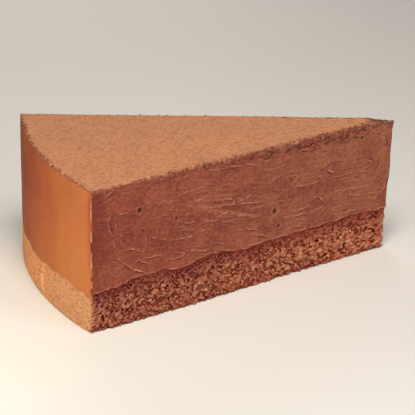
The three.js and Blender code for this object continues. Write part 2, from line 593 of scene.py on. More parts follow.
LIPS_PX = (
    ((176.9, 197.6), (182.0, 194.0), (190.2, 190.9), (200.4, 187.9), (206.5, 186.3)),
    ((196.3, 200.6), (204.5, 197.6), (210.6, 193.0)),
    ((157.6, 205.7), (164.7, 201.6), (169.8, 202.7), (174.9, 200.6)),
    ((185.1, 245.5), (186.6, 241.4), (191.2, 236.8), (198.4, 233.8), (206.5, 230.2), (214.7, 227.1)),
    ((174.9, 240.4), (186.1, 238.4)),
    ((189.2, 251.6), (207.6, 250.6), (210.1, 246.5)),
    ((175.9, 253.7), (186.1, 252.7), (182.0, 256.7), (171.8, 259.8), (164.7, 262.3)),
    ((145.3, 257.8), (154.0, 256.9), (163.7, 255.7)),
    ((121.8, 256.7), (124.9, 251.6), (131.0, 249.6), (138.2, 250.6), (143.3, 251.6)),
    ((135.1, 264.9), (138.2, 260.8), (145.3, 262.3), (151.4, 264.9)),
    ((117.8, 258.8), (124.9, 263.9), (134.1, 270.0), (143.3, 272.0), (151.4, 273.0)),
    ((116.7, 223.6), (116.7, 231.2)),
    ((122.3, 241.4), (122.9, 246.5)),
    ((146.8, 233.3), (146.3, 241.4), (145.3, 250.6)),
    ((110.6, 216.9), (109.6, 227.1), (112.7, 235.3)),
    ((119.8, 214.9), (126.9, 212.9)),
    ((220.8, 240.4), (224.9, 236.8)),
    ((222.9, 204.7), (231.0, 204.7), (237.1, 204.9)),
    ((198.4, 207.8), (215.7, 207.8)),
    ((201.4, 221.0), (219.8, 221.5)),
    ((222.9, 223.1), (237.1, 219.0)),
    ((246.0, 164.0), (260.4, 166.0)),
    ((241.0, 157.5), (255.3, 156.9), (268.6, 154.9)),
    ((271.6, 183.5), (275.7, 178.4), (280.3, 176.3)),
    ((271.6, 189.6), (280.8, 190.6), (289.0, 189.1)),
    ((296.1, 183.5), (297.7, 179.4), (300.2, 175.3)),
    ((319.6, 171.2), (324.7, 167.1), (329.8, 163.1), (338.0, 161.0), (349.2, 159.0)),
    ((240.0, 203.9), (255.3, 202.9), (263.5, 201.3)),
    ((277.8, 201.8), (293.0, 199.8)),
    ((303.3, 202.9), (311.4, 200.3), (319.6, 197.2), (324.7, 203.9)),
    ((297.1, 210.5), (305.3, 208.0), (311.4, 206.9)),
    ((315.5, 223.3), (317.6, 218.2), (321.6, 212.0), (324.7, 210.0)),
    ((298.2, 149.3), (310.4, 149.8), (323.7, 145.7)),
    ((339.0, 149.8), (348.2, 147.8)),
    ((345.1, 194.7), (355.3, 195.7), (364.5, 193.7)),
    ((362.4, 170.2), (369.6, 166.1), (371.6, 161.0), (362.4, 160.0)),
    ((377.8, 185.5), (381.8, 180.4), (384.9, 173.3)),
    ((334.9, 215.1), (350.2, 211.0), (362.4, 209.0)),
    ((256.3, 234.5), (270.6, 236.5)),
    ((290.8, 188.7), (306.4, 185.4), (319.8, 182.0)),
    ((327.7, 169.7), (332.0, 172.5), (335.5, 171.0)),
    ((317.6, 177.6), (322.0, 176.4), (321.0, 182.0)),
    ((334.4, 192.1), (342.2, 189.8), (357.8, 188.2)),
    ((290.8, 216.6), (302.0, 214.4), (313.1, 212.2)),
    ((235.0, 198.8), (241.7, 199.9), (251.7, 195.3)),
    ((246.2, 208.8), (256.0, 208.0), (264.0, 205.5)),
    ((246.2, 228.9), (257.3, 230.0)),
    ((285.2, 228.9), (297.5, 226.7), (306.4, 224.4)),
    ((373.4, 199.9), (379.0, 194.3), (381.5, 188.0)),
    ((369.0, 131.8), (381.2, 132.9)),
    ((382.4, 124.0), (382.6, 131.0), (382.2, 140.0)),
    ((214.6, 188.7), (221.7, 188.7)),
    ((224.8, 198.9), (234.0, 198.9)),
    ((219.7, 212.7), (227.9, 212.7)),
    ((134.0, 269.8), (142.1, 271.3)),
    ((115.6, 279.0), (120.0, 276.0), (124.8, 274.9)),
    ((265.0, 170.5), (275.0, 169.0), (290.0, 164.5)),
    ((330.0, 178.0), (345.0, 175.0), (356.0, 171.5)),
    ((236.0, 215.0), (250.0, 215.5), (262.0, 213.0)),
    ((118.8, 233.5), (121.9, 235.0), (122.5, 237.2)),
    ((115.3, 242.5), (115.6, 247.8)),
    ((152.3, 237.7), (156.6, 238.2)),
    ((162.4, 240.4), (166.7, 239.8)),
    ((147.5, 207.9), (150.7, 207.9)),
    ((384.6, 122.5), (384.0, 140.0), (384.6, 158.0)),
    ((387.0, 166.0), (385.0, 180.0), (381.0, 195.0)),
    ((104.0, 199.0), (110.0, 194.0), (115.5, 188.5)),
)
GROOVES_PX = (
    ((117.0, 192.0), (110.6, 197.0), (103.0, 202.5), (93.5, 208.5)),
    ((301.2, 145.7), (311.4, 142.7), (323.7, 140.6)),
    ((290.5, 185.0), (294.0, 179.0), (296.5, 176.0)),
    ((372.0, 172.0), (377.0, 166.0), (379.0, 158.0)),
)
BUBBLES_PX = ((140.0, 210.6), (177.0, 218.5), (275.0, 211.5), (278.0, 225.7), (363.0, 138.0))


@dataclass(frozen=True)
class KnifeMarks:
    """What the knife leaves on a cut side of mousse: smears, drag lines, lips and opened bubbles."""

    wedge: Wedge
    camera: PhotoCamera
    seam_level: float = 13.0
    undulation: float = 0.3
    undulation_size: tuple = (19.0, 9.0)
    drag: float = 0.06
    drag_size: tuple = (16.0, 1.3)
    drag_fall: float = 13.0
    drag_span: tuple = (-15.0, 80.0)
    patch_size: tuple = (22.0, 9.0)
    ripple: float = 0.08
    ripple_size: tuple = (4.5, 0.62)
    ripple_middle: tuple = (0.42, 0.66)
    ripple_reach: tuple = (16.0, 9.0)
    ripple_start: tuple = (15.0, 35.0)
    crinkle: float = 0.075
    crinkle_size: tuple = (1.15, 1.0)
    tip_pull: float = 0.15
    tip_pull_size: tuple = (1.1, 12.0)
    tip_pull_span: tuple = (9.0, 2.0)
    line_groups: int = 62
    line_rows: tuple = (2, 6)
    line_points: int = 5
    line_start: float = 20.0
    line_lowest: float = 12.0
    line_length: tuple = (1.5, 8.0)
    line_spacing: float = 1.5
    line_shift: float = 2.5
    row_shift: float = 0.2
    line_tilt: float = 0.07
    line_turn: float = 0.03
    line_bend: float = 0.012
    line_strength: tuple = (0.12, 0.52)
    line_seed: int = 17
    comb_groups: int = 11
    comb_along: tuple = (33.0, 56.0)
    comb_height: tuple = (21.0, 36.0)
    comb_strength: tuple = (0.2, 0.6)
    waver: float = 0.26
    waver_size: tuple = (1.4, 1.4)
    break_size: tuple = (2.0, 1.5)
    lip_height: float = 0.22
    lip_width: float = 0.2
    lip_step: float = 0.14
    lip_reach: float = 1.0
    lip_fade: float = 0.45
    lit_from: tuple = (-0.35, 1.0)
    brim_radius: float = 1.7
    brim_width: float = 0.2
    brim_height: float = 0.08
    # Strength of the painted highlight on the bubbles' raised brims.
    brim_pale: float = 0.2
    bubble_depth: float = 0.5
    bubble_edge: tuple = (1.25, 0.7)
    bubble_radii: tuple = (0.66, 0.46, 0.72, 0.54, 0.46)
    lips: tuple = LIPS_PX
    grooves: tuple = GROOVES_PX
    bubble_places: tuple = BUBBLES_PX
    noise: ReliefNoise = ReliefNoise(23)

    def onto_cut(self, pixels: tuple, side: Side) -> Array:
        """Carries marks of the photograph onto a cut side. The far side has them the other way round.

        Args:
            pixels: Pairs of pixel coordinates on the near side.
            side: The side that the marks go to.

        Returns:
            For each pixel, the distance along the side from the rim's corner, and the height.
        """
        corner = np.array([*self.wedge.corner(Side.NEAR), 0.0])
        normal = np.array([*self.wedge.cut_normal(Side.NEAR), 0.0])
        points = self.camera.onto_plane(pixels, corner, normal)
        along = (points - corner) @ np.array([*self.wedge.run(Side.NEAR), 0.0])
        if side is Side.NEAR:
            return np.stack([along, points[:, 2]], 1)
        ends = self.wedge.mousse_top + self.seam_level
        return np.stack([self.wedge.cut_length() - along, ends - points[:, 2]], 1)

    def flow(self, along: Array, z: Array) -> Array:
        """Height across the knife's drag, which falls towards the tip on the rim's half."""
        return z + self.drag_fall * ease(along, *self.drag_span)

    def drawn_lines(self, side: Side) -> list[tuple[Array, float]]:
        """Draws short fine lines along the knife's way.

        Args:
            side: Which cut side.

        Returns:
            The points of each line, and its strength.
        """
        draw = np.random.default_rng(self.line_seed + side.value)
        last = self.wedge.cut_length() - self.line_length[1]
        highest = self.wedge.mousse_top - self.line_spacing
        lines = []
        for number in range(self.line_groups + self.comb_groups):
            combed = number < self.comb_groups
            middle = draw.uniform(*(self.comb_along if combed else (self.line_start, last)))
            level = draw.uniform(*(self.comb_height if combed else (self.line_lowest, highest)))
            strength = self.comb_strength if combed else self.line_strength
            tilt = draw.normal(0.0, self.line_tilt)
            for row in range(draw.integers(*self.line_rows)):
                start = middle + draw.normal(0.0, self.line_shift)
                away = np.linspace(0.0, draw.uniform(*self.line_length), self.line_points)
                fall = self.flow(start + away, 0.0) - self.flow(middle, 0.0)
                turn = tilt + draw.normal(0.0, self.line_turn)
                bent = turn * away + draw.normal(0.0, self.line_bend) * away**2
                height = level + self.line_spacing * (row + draw.normal(0.0, self.row_shift))
                line = np.stack([start + away, height - fall + bent], 1)
                lines.append((line, draw.uniform(*strength)))
        return lines

    def all_lines(self, side: Side) -> list[tuple[Array, float]]:
        """The lips and grooves of the photograph and the fine lines, on one side.

        Args:
            side: Which cut side.

        Returns:
            The points of each line, and its strength, below 0 for a groove.
        """
        lips = [(smooth_line(self.onto_cut(p, side)), Mark.LIP.value) for p in self.lips]
        grooves = [(smooth_line(self.onto_cut(p, side)), Mark.GROOVE.value) for p in self.grooves]
        return [*lips, *grooves, *self.drawn_lines(side)]

    def strokes(self, lines: list, along: Array, z: Array) -> tuple[Array, Array]:
        """Distances to the nearest of many lines.

        Args:
            lines: The points of each line, and its strength.
            along: Distance along the side.
            z: Height.

        Returns:
            The distance, above 0 on the lit side of the line, and the line's strength, 0 at its ends.
        """
        gap = np.full(z.shape, self.lip_reach)
        strength = np.zeros(z.shape)
        for line, power in lines:
            chord = line[-1] - line[0]
            if chord[0] * self.lit_from[1] - chord[1] * self.lit_from[0] < 0.0:
                line = line[::-1]
            low, high = line.min(0) - self.lip_reach, line.max(0) + self.lip_reach
            near = (along > low[0]) & (along < high[0]) & (z > low[1]) & (z < high[1])
            point = np.stack([along[near], z[near]], 1)
            best = np.full(len(point), self.lip_reach)
            signed = best.copy()
            reach = np.zeros(len(point))
            count = len(line) - 1
            for number, (start, stop) in enumerate(zip(line, line[1:])):
                step = stop - start
                share = np.clip((point - start) @ step / (step @ step), 0.0, 1.0)
                off = point - start - share[:, None] * step
                distance = np.hypot(off[:, 0], off[:, 1])
                closer = distance < best
                best = np.where(closer, distance, best)
                turn = step[0] * off[:, 1] - step[1] * off[:, 0]
                signed = np.where(closer, np.where(turn < 0.0, -distance, distance), signed)
                reach = np.where(closer, (number + share) / count, reach)
            taper = np.sqrt(np.clip(4.0 * reach * (1.0 - reach), 0.0, 1.0))
            shown = power * taper * ease(best, self.lip_reach, self.lip_fade)
            taken = best < np.abs(gap[near])
            gap[near] = np.where(taken, signed, gap[near])
            strength[near] = np.where(taken, shown, strength[near])
        return gap, strength

    def bubbles(self, along: Array, z: Array, side: Side) -> tuple:
        """Round bubbles that the knife opened.

        Args:
            along: Distance along the side.
            z: Height.
            side: Which cut side.

        Returns:
            The relief, how far inside a bubble a place is and how far on its brim, from 0 to 1.
        """
        relief = np.zeros(z.shape)
        inside = np.zeros(z.shape)
        brim = np.zeros(z.shape)
        for place, radius in zip(self.onto_cut(self.bubble_places, side), self.bubble_radii):
            distance = np.hypot(along - place[0], z - place[1])
            hole = np.exp(-((distance / radius) ** 4))
            ring = bell(distance - self.brim_radius * radius, self.brim_width)
            relief += self.brim_height * ring - self.bubble_depth * hole
            outer, inner = (share * radius for share in self.bubble_edge)
            inside = np.maximum(inside, ease(distance, outer, inner))
            brim = np.maximum(brim, ring)
        return relief, inside, brim

    def press(self, along: Array, z: Array, side: Side) -> dict[str, Array]:
        """All the marks on a cut side together.

        Args:
            along: Distance along the side.
            z: Height.
            side: Which cut side.

        Returns:
            The relief, and what the finish needs to know of the marks, by name.
        """
        key = 2.0 + 2.0 * side.value
        length = self.wedge.cut_length()
        face, dragged = (along, z), (along, self.flow(along, z))
        broad = self.noise.over(self.undulation_size, face, key + 31.5)
        drag = self.noise.over(self.drag_size, dragged, key + 41.5)
        drag_patch = ease(self.noise.over(self.patch_size, face, key + 51.5, 1), -0.4, 0.4)
        ripple = self.noise.over(self.ripple_size, dragged, key + 45.5)
        middle = bell(along - self.ripple_middle[0] * length, self.ripple_reach[0])
        middle = middle * bell(z - self.ripple_middle[1] * self.wedge.height, self.ripple_reach[1])
        rippled = np.maximum(middle, 0.5 * drag_patch * ease(along, *self.ripple_start))
        crinkle = self.noise.over(self.crinkle_size, face, key + 91.5)
        at_tip = ease(along, length - self.tip_pull_span[0], length - self.tip_pull_span[1])
        pull = self.noise.over(self.tip_pull_size, face, key + 61.5)
        across_waver = self.waver * self.noise.over(self.waver_size, face, key + 71.5)
        along_waver = self.waver * self.noise.over(self.waver_size, face, key + 75.5)
        gap, strength = self.strokes(self.all_lines(side), along + along_waver, z + across_waver)
        strength *= 0.35 + 0.65 * ease(self.noise.over(self.break_size, face, key + 81.5, 1), -0.35, 0.3)
        lip = np.clip(strength, 0.0, 1.0)
        groove = np.clip(-strength, 0.0, 1.0)
        bubble_relief, bubble, brim = self.bubbles(along, z, side)
        ridge = self.lip_height * bell(gap, self.lip_width)
        relief = self.undulation * (broad - 0.3) + self.drag * drag * drag_patch * (1.0 - 0.75 * at_tip)
        relief += self.ripple * ripple * rippled + self.crinkle * crinkle * (1.0 - 0.4 * at_tip)
        relief += lip * (ridge + self.lip_step * np.tanh(gap / self.lip_width)) - groove * ridge
        relief += bubble_relief + self.tip_pull * pull * at_tip
        marks = {"lip_gap": gap, "lip": lip, "groove": groove, "bubble": bubble}
        # pale carries a painted highlight on the bubbles' brims.
        fine = {"pale": self.brim_pale * brim, "crinkle": crinkle, "ripple": ripple * rippled}
        return {"relief": relief, **marks, **fine}


@dataclass
class MousseLayer:
    """The layer of set mousse: two knife-cut sides, a smooth moulded rim and a rounded tip."""

    wedge: Wedge
    lines: LayerLines
    marks: KnifeMarks
    rim_step: float = 2.4
    near_step: float = 0.28
    far_step: float = 0.66
    rows: int = 146
    seam_lip: float = 0.28
    seam_lip_level: float = 0.35
    seam_lip_width: float = 0.22
    seam_lip_size: float = 4.0
    seam_break_size: float = 1.6
    seam_swell: float = 1.6
    seam_tuck: float = 0.4
    seam_tuck_height: float = 0.3
    corner_reach: float = 2.0
    corner_chip: float = 0.5
    corner_chip_size: float = 2.6
    corner_jag: float = 0.22
    corner_jag_size: float = 1.5
    gouge_depth: float = 0.45
    gouge_size: tuple = (3.2, 1.1)
    gouge_band: tuple = (2.6, 0.6)
    flush_band: tuple = (0.2, 2.5)
    rim_wave: float = 0.06
    rim_wave_size: tuple = (21.0, 12.0)
    under_ring: tuple = (0.8, 0.25)
    over_ring: tuple = (0.3, 0.05)
    side_shift: float = 40.0
    noise: ReliefNoise = ReliefNoise(37)

    def build(self) -> bpy.types.Object:
        """Makes the mousse's mesh.

        Returns:
            The piece.
        """
        line = self.wedge.outline(self.rim_step, self.near_step, self.far_step)
        seam = self.lines.seam(line.along, line.side, line.cut)
        top = self.lines.top(line.along, line.side, line.cut, line.place[:, 0])
        share = np.linspace(0.0, 1.0, self.rows)[:, None]
        z = seam + share * (top - seam)
        along = np.broadcast_to(line.along, z.shape)

        relief = self.rim_wave * self.noise.over(self.rim_wave_size, (along, z), 3.5)
        names = ("lip", "groove", "bubble", "pale", "crinkle", "ripple", "corner", "chip")
        marks = {name: np.zeros(z.shape) for name in names}
        marks["lip_gap"] = np.full(z.shape, self.marks.lip_reach)
        for side in Side:
            on = (line.side == side.value) & (line.cut > 0.0)
            pressed = self.marks.press(along[:, on], z[:, on], side)
            fade = line.cut[on] * ease(line.along[on], 0.0, self.corner_reach)
            flush = 0.15 + 0.85 * ease((top - z)[:, on], *self.flush_band)
            relief[:, on] = relief[:, on] * (1.0 - fade) + pressed.pop("relief") * fade * flush
            for name, mark in pressed.items():
                marks[name][:, on] = mark
        above = z - seam
        proud = 0.55 + 0.45 * self.noise.at(along / self.seam_lip_size, line.side * 4.0 + 60.5)
        proud = line.cut * proud
        broken = self.noise.layered(along / self.seam_break_size, line.side * 4.0 + 70.5, octaves=2)
        broken = 0.35 + 0.65 * ease(broken, -0.4, 0.3)
        # The seam's raised lip gets a painted highlight through pale.
        pale = proud * broken * bell(above - self.seam_lip_level, self.seam_lip_width)
        relief += self.seam_lip * (0.6 * pale + 0.4 * proud * bell(above, self.seam_swell))
        relief -= self.seam_tuck * ease(above, self.seam_tuck_height, 0.0)
        edge = (line.along < self.corner_reach) * (line.along >= 0.0)
        edge = np.sin(math.pi * np.clip(line.cut, 0.0, 1.0)) * edge
        chips = self.noise.layered(z / self.corner_chip_size, line.side * 6.0 + 80.5, octaves=3)
        chips = ease(chips, 0.15, 0.6)
        torn = self.lines.torn(line.along, line.cut)
        # Gouges under the torn band: dips in the relief, with painted shade in them.
        gouge = self.noise.over(self.gouge_size, (along, z), line.side * 6.0 + 95.5)
        gouge = ease(gouge, 0.05, 0.4) * np.clip(torn, 0.0, 1.0) * ease(top - z, *self.gouge_band) * line.cut
        relief -= self.gouge_depth * gouge
        jag = self.noise.layered(z / self.corner_jag_size, line.side * 6.0 + 90.5, octaves=3)
        relief += edge * (self.corner_jag * jag - self.corner_chip * chips)
        marks["pale"] = np.maximum(marks["pale"], pale)
        # Painted highlight along the rounded corner, broken by the chips.
        marks["corner"] = edge * ease(jag, -0.5, 0.3) * (1.0 - chips)
        # chip carries painted shade in the corner's chips and in the gouges.
        marks["chip"] = np.maximum(edge * chips, 0.8 * gouge)

        moved = line.place + relief[..., None] * line.normal
        moved = moved + self.wedge.bulge(moved, z)
        lean = self.wedge.lean(line.place[:, 0], z)
        vertices = np.stack([moved[..., 0] + lean, moved[..., 1], z], -1)
        rings = []
        for row, (inset, rise) in ((0, self.under_ring), (-1, self.over_ring)):
            ring = vertices[row] + np.array([0.0, 0.0, rise])
            ring[:, :2] -= inset * line.normal
            rings.append(ring[None])
        vertices = np.concatenate([rings[0], vertices, rings[1]])

        def ringed(value: Array) -> Array:
            """Repeats the first and last row for the two hidden rings."""
            return np.concatenate([value[:1], value, value[-1:]])

        apart = np.broadcast_to(self.side_shift * line.side, z.shape)
        flow = np.stack([along, self.marks.flow(along, z), apart], -1)
        marks["rim"] = np.broadcast_to(1.0 - line.cut, z.shape)
        values = {name: ringed(mark).ravel() for name, mark in marks.items()}
        values["flow"] = ringed(flow).reshape(-1, 3)
        faces = wall_faces(self.rows + 2, len(line))
        return make_piece("mousse", vertices.reshape(-1, 3), faces, values)


@dataclass
class SpongeBase:
    """The sponge: grains of crumb with gaps between them, shaped in a grid of cells near its faces."""

    wedge: Wedge
    lines: LayerLines
    cell: float = 0.19
    margin_cells: int = 3
    band: tuple = (-2.0, 1.0)
    far_off: float = 9.0
    set_back: float = 0.1
    tip_set_back: float = 0.2
    rim_set_back: float = 0.12
    top: float = 14.5
    triangles: int = 190000
    grains_per_mm2: float = 3.4
    grain_beyond: float = 1.0
    grain_lowest: float = 0.1
    grain_depth: float = 0.6
    grain_sunk: float = 0.7
    grain_radius: float = 0.27
    grain_spread: float = 0.45
    grain_limits: tuple = (0.15, 0.9)
    grain_growth: tuple = (0.68, 1.22)
    grain_thinning: float = 1.6
    grain_stretch: tuple = (1.15, 1.15, 0.9)
    grain_room: float = 1.25
    grain_warp: float = 0.25
    warp_size: tuple = (1.1, 1.1, 1.1)
    core_depth: float = 0.75
    core_share: float = 0.45
    core_rough: float = 0.5
    core_rise: float = 0.4
    core_band: tuple = (-1.2, -0.3)
    join: float = 0.1
    tuck: float = 1.6
    tuck_band: tuple = (0.1, 1.2)
    foot_notch: float = 0.4
    notch_size: tuple = (2.2, 2.2, 3.0)
    notch_height: float = 1.5
    foot_flare: float = 0.9
    foot_height: float = 5.0
    flare_start: tuple = (1.0, 10.0)
    flare_end: tuple = (80.0, 40.0)
    pores_per_mm2: float = 1.6
    pore_depth: tuple = (0.05, 0.3)
    pore_lowest: float = -0.3
    pore_radius: float = 0.25
    pore_spread: float = 0.35
    pore_limits: tuple = (0.14, 0.45)
    pore_join: float = 0.15
    crag: float = 0.35
    clump_size: tuple = (2.6, 2.6, 2.2)
    clump_growth: tuple = (0.0, 45.0)
    grit: float = 0.16
    grit_size: tuple = (0.75, 0.75, 0.75)
    rim_grit: float = 0.35
    crease_turn_deg: float = -2.6
    crease_height: float = 5.5
    crease_reach: float = 4.2
    crease_width: float = 0.8
    crease_proud: float = 0.6
    hollow_aside: float = 2.2
    hollow_width: float = 1.6
    seam_step: float = 0.1
    seam_beyond: float = 3.0
    dark_depth: float = 0.9
    shaded_band: tuple = (1.1, 0.3)
    moist_band: tuple = (6.5, 1.2)
    seed: int = 5
    noise: ReliefNoise = ReliefNoise(53)

    def face_gaps(self, points: Array) -> tuple[Array, Array]:
        """Distance out of the flat cut sides and the tip, and out of the round rim.

        Args:
            points: Places.

        Returns:
            The gap to the cut sides, and the gap to the rim, both below 0 inside.
        """
        plan = points[..., :2]
        gaps = [(plan - self.wedge.corner(s)) @ self.wedge.cut_normal(s) for s in Side]
        tip_x = self.wedge.tip_x - self.tip_set_back
        tip = plan[..., 0] - tip_x - self.wedge.lean(plan[..., 0], points[..., 2])
        cut = np.maximum(np.maximum(*gaps), tip) + self.set_back - self.flare(points)
        reach = np.hypot(plan[..., 0] - self.wedge.tip_x, plan[..., 1])
        return cut, reach - self.wedge.radius + self.rim_set_back

    def flare(self, points: Array) -> Array:
        """How far the foot of the cut sides stands out, on the rim's half.

        Args:
            points: Places.

        Returns:
            The distance at each place.
        """
        along = self.wedge.along_cut(points)
        spread = ease(along, *self.flare_start) * ease(along, *self.flare_end)
        return self.foot_flare * spread * ease(points[..., 2], self.foot_height, 0.0)

    def crease(self, points: Array) -> Array:
        """How far a place lies on the upright fold in the rim, below 0 in the hollow beside it.

        Args:
            points: Places.

        Returns:
            The share of the fold at each place.
        """
        turn = np.arctan2(points[..., 1], self.wedge.tip_x - points[..., 0])
        aside = self.wedge.radius * (turn - math.radians(self.crease_turn_deg))
        fold = bell(aside, self.crease_width) - 0.5 * bell(aside - self.hollow_aside, self.hollow_width)
        return fold * bell(points[..., 2] - self.crease_height, self.crease_reach)

    def seam_at(self, points: Array) -> Array:
        """Height of the line under the mousse at the nearest place of the outside.

        Args:
            points: Places.

        Returns:
            The height.
        """
        cut, rim = self.face_gaps(points)
        cut_along = self.wedge.along_cut(points)
        angle = np.arctan2(points[..., 1], self.wedge.tip_x - points[..., 0])
        knots = np.arange(0.0, self.wedge.cut_length() + self.seam_beyond, self.seam_step)
        one = np.ones(knots.shape)
        near = np.interp(cut_along, knots, self.lines.seam(knots, -one, one))
        far = np.interp(cut_along, knots, self.lines.seam(knots, one, one))
        reach = self.wedge.radius * self.wedge.half_angle
        bends = np.arange(-reach, reach, self.seam_step)
        none = np.zeros(bends.shape)
        on_rim = np.interp(self.wedge.radius * angle, bends, self.lines.seam(bends, none, none))
        on_cut = np.where(points[..., 1] < 0.0, near, far)
        return np.where(cut > rim, on_cut, on_rim)

    def grains(self, draw: np.random.Generator) -> tuple[Array, Array]:
        """Draws the grains of crumb behind the cut sides.

        Args:
            draw: Where the random numbers come from.

        Returns:
            Their centres, and their radii.
        """
        centres, sizes = [], []
        length = self.wedge.cut_length()
        count = round(self.grains_per_mm2 * length * self.top)
        for side in Side:
            along = (length + self.grain_beyond) * draw.uniform(0.0, 1.0, count) ** self.grain_thinning
            radius = draw.lognormal(math.log(self.grain_radius), self.grain_spread, count)
            radius = np.clip(radius, *self.grain_limits)
            radius = radius * np.interp(along, (0.0, length), self.grain_growth)
            depth = self.set_back + self.grain_sunk * radius + draw.uniform(0.0, self.grain_depth, count)
            plan = self.wedge.corner(side) + along[:, None] * self.wedge.run(side)
            plan = plan - depth[:, None] * self.wedge.cut_normal(side)
            centres.append(np.column_stack([plan, draw.uniform(self.grain_lowest, self.top, count)]))
            sizes.append(radius)
        return np.concatenate(centres), np.concatenate(sizes)

    def pores(self, draw: np.random.Generator) -> tuple[Array, Array]:
        """Draws the small pores in the rim.

        Args:
            draw: Where the random numbers come from.

        Returns:
            Their centres, and their radii.
        """
        count = round(self.pores_per_mm2 * 2 * self.wedge.radius * self.wedge.half_angle * self.top)
        angle = draw.uniform(-self.wedge.half_angle, self.wedge.half_angle, count)
        reach = self.wedge.radius - draw.uniform(*self.pore_depth, count)
        plan = np.column_stack([self.wedge.tip_x - reach * np.cos(angle), reach * np.sin(angle)])
        radii = draw.lognormal(math.log(self.pore_radius), self.pore_spread, count)
        radii = np.clip(radii, *self.pore_limits)
        return np.column_stack([plan, draw.uniform(self.pore_lowest, self.top, count)]), radii

    def nearest_ball(self, grid: Array, low: Array, balls: tuple, stretch: tuple) -> tuple:
        """Distance out of the nearest of many balls.

        Args:
            grid: The grid's points.
            low: The grid's first corner.
            balls: The balls' centres and radii.
            stretch: How much longer the balls are along each axis.

        Returns:
            The distance at each grid point, below 0 inside a ball and large far from all of them, and the
            number of that ball.
        """
        nearest = np.full(grid.shape[:3], self.far_off, np.float32)
        owner = np.zeros(grid.shape[:3], np.int32)
        last_cell = np.array(grid.shape[:3])
        for number, (centre, radius) in enumerate(zip(*balls)):
            reach = self.grain_room * radius + self.grain_warp + self.margin_cells * self.cell
            first = np.maximum(np.floor((centre - reach - low) / self.cell).astype(int), 0)
            last = np.minimum(np.ceil((centre + reach - low) / self.cell).astype(int) + 1, last_cell)
            block = tuple(slice(a, b) for a, b in zip(first, last))
            gap = np.linalg.norm((grid[block] - centre) / np.array(stretch), axis=-1) - radius
            closer = gap < nearest[block]
            nearest[block] = np.where(closer, gap, nearest[block])
            owner[block] = np.where(closer, number, owner[block])
        return nearest, owner

    def carve(self) -> tuple[Array, Array, Array]:
        """Fills the grid with the distance out of the crumb.

        Returns:
            The grid's first corner, the distance at each of its points, below 0 inside, and the
            number of the grain there.
        """
        margin = self.margin_cells * self.cell
        high_y = self.wedge.radius * math.sin(self.wedge.half_angle) + margin
        low = np.array([self.wedge.tip_x - self.wedge.radius - margin, -high_y, -margin])
        high = np.array([self.wedge.tip_x + margin, high_y, self.top + margin])
        shape = np.ceil((high - low) / self.cell).astype(int)
        axes = [(low[a] + self.cell * np.arange(shape[a])).astype(np.float32) for a in range(3)]
        points = np.stack(np.meshgrid(*axes, indexing="ij"), -1)
        cut, rim = self.face_gaps(points)
        outside = np.maximum(cut, rim)
        near = (outside > self.band[0]) & (outside < self.band[1])
        spot = points[near]
        x, y, z = spot.T
        warped = points.copy()
        for axis in range(3):
            warped[near, axis] += self.grain_warp * self.noise.over(self.warp_size, spot.T, 30.0 * axis, 1)
        outward = self.wedge.cut_normal(Side.FAR) * np.stack([np.ones(y.shape), np.sign(y)], 1)
        warped[near, :2] -= self.flare(spot)[:, None] * outward
        draw = np.random.default_rng(self.seed)
        grains, owner = self.nearest_ball(warped, low, self.grains(draw), self.grain_stretch)
        holes, _ = self.nearest_ball(points, low, self.pores(draw), (1.0, 1.0, 1.0))
        above = z - self.seam_at(spot)
        tucked = self.tuck * ease(above, *self.tuck_band)
        clumps = self.noise.over(self.clump_size, spot.T, 40.0) * (1.0 + 0.7 * ease(x, *self.clump_growth))
        grit = self.grit * self.noise.over(self.grit_size, spot.T, 0.0)
        knife = cut[near] + self.crag * np.clip(clumps, -0.3, 1.0)
        core_depth = np.minimum(self.core_depth, self.core_share * self.wedge.half_width(x))
        core_depth = core_depth * (1.0 - self.core_rise * ease(above, *self.core_band))
        core = cut[near] + core_depth * (1.0 + self.core_rough * clumps)
        ball = grains[near]
        merge = np.clip(0.5 + 0.5 * (ball - core) / self.join, 0.0, 1.0)
        crumb = merge * core + (1.0 - merge) * ball - self.join * merge * (1.0 - merge)
        notch = np.clip(self.noise.over(self.notch_size, spot.T, 70.0) + 0.2, 0.0, 1.0)
        foot = self.foot_notch * notch * ease(z, self.notch_height, 0.0)
        cut[near] = np.maximum(knife, crumb) + grit + tucked + foot
        rim[near] += self.rim_grit * grit + tucked - self.crease_proud * self.crease(spot)
        flat = np.maximum(-points[..., 2], points[..., 2] - self.top)
        solid = np.maximum(np.maximum(cut, rim), flat)
        join = self.pore_join
        blend = np.clip(0.5 + 0.5 * (solid + holes) / join, 0.0, 1.0)
        return low, blend * solid - (1.0 - blend) * holes + join * blend * (1.0 - blend), owner

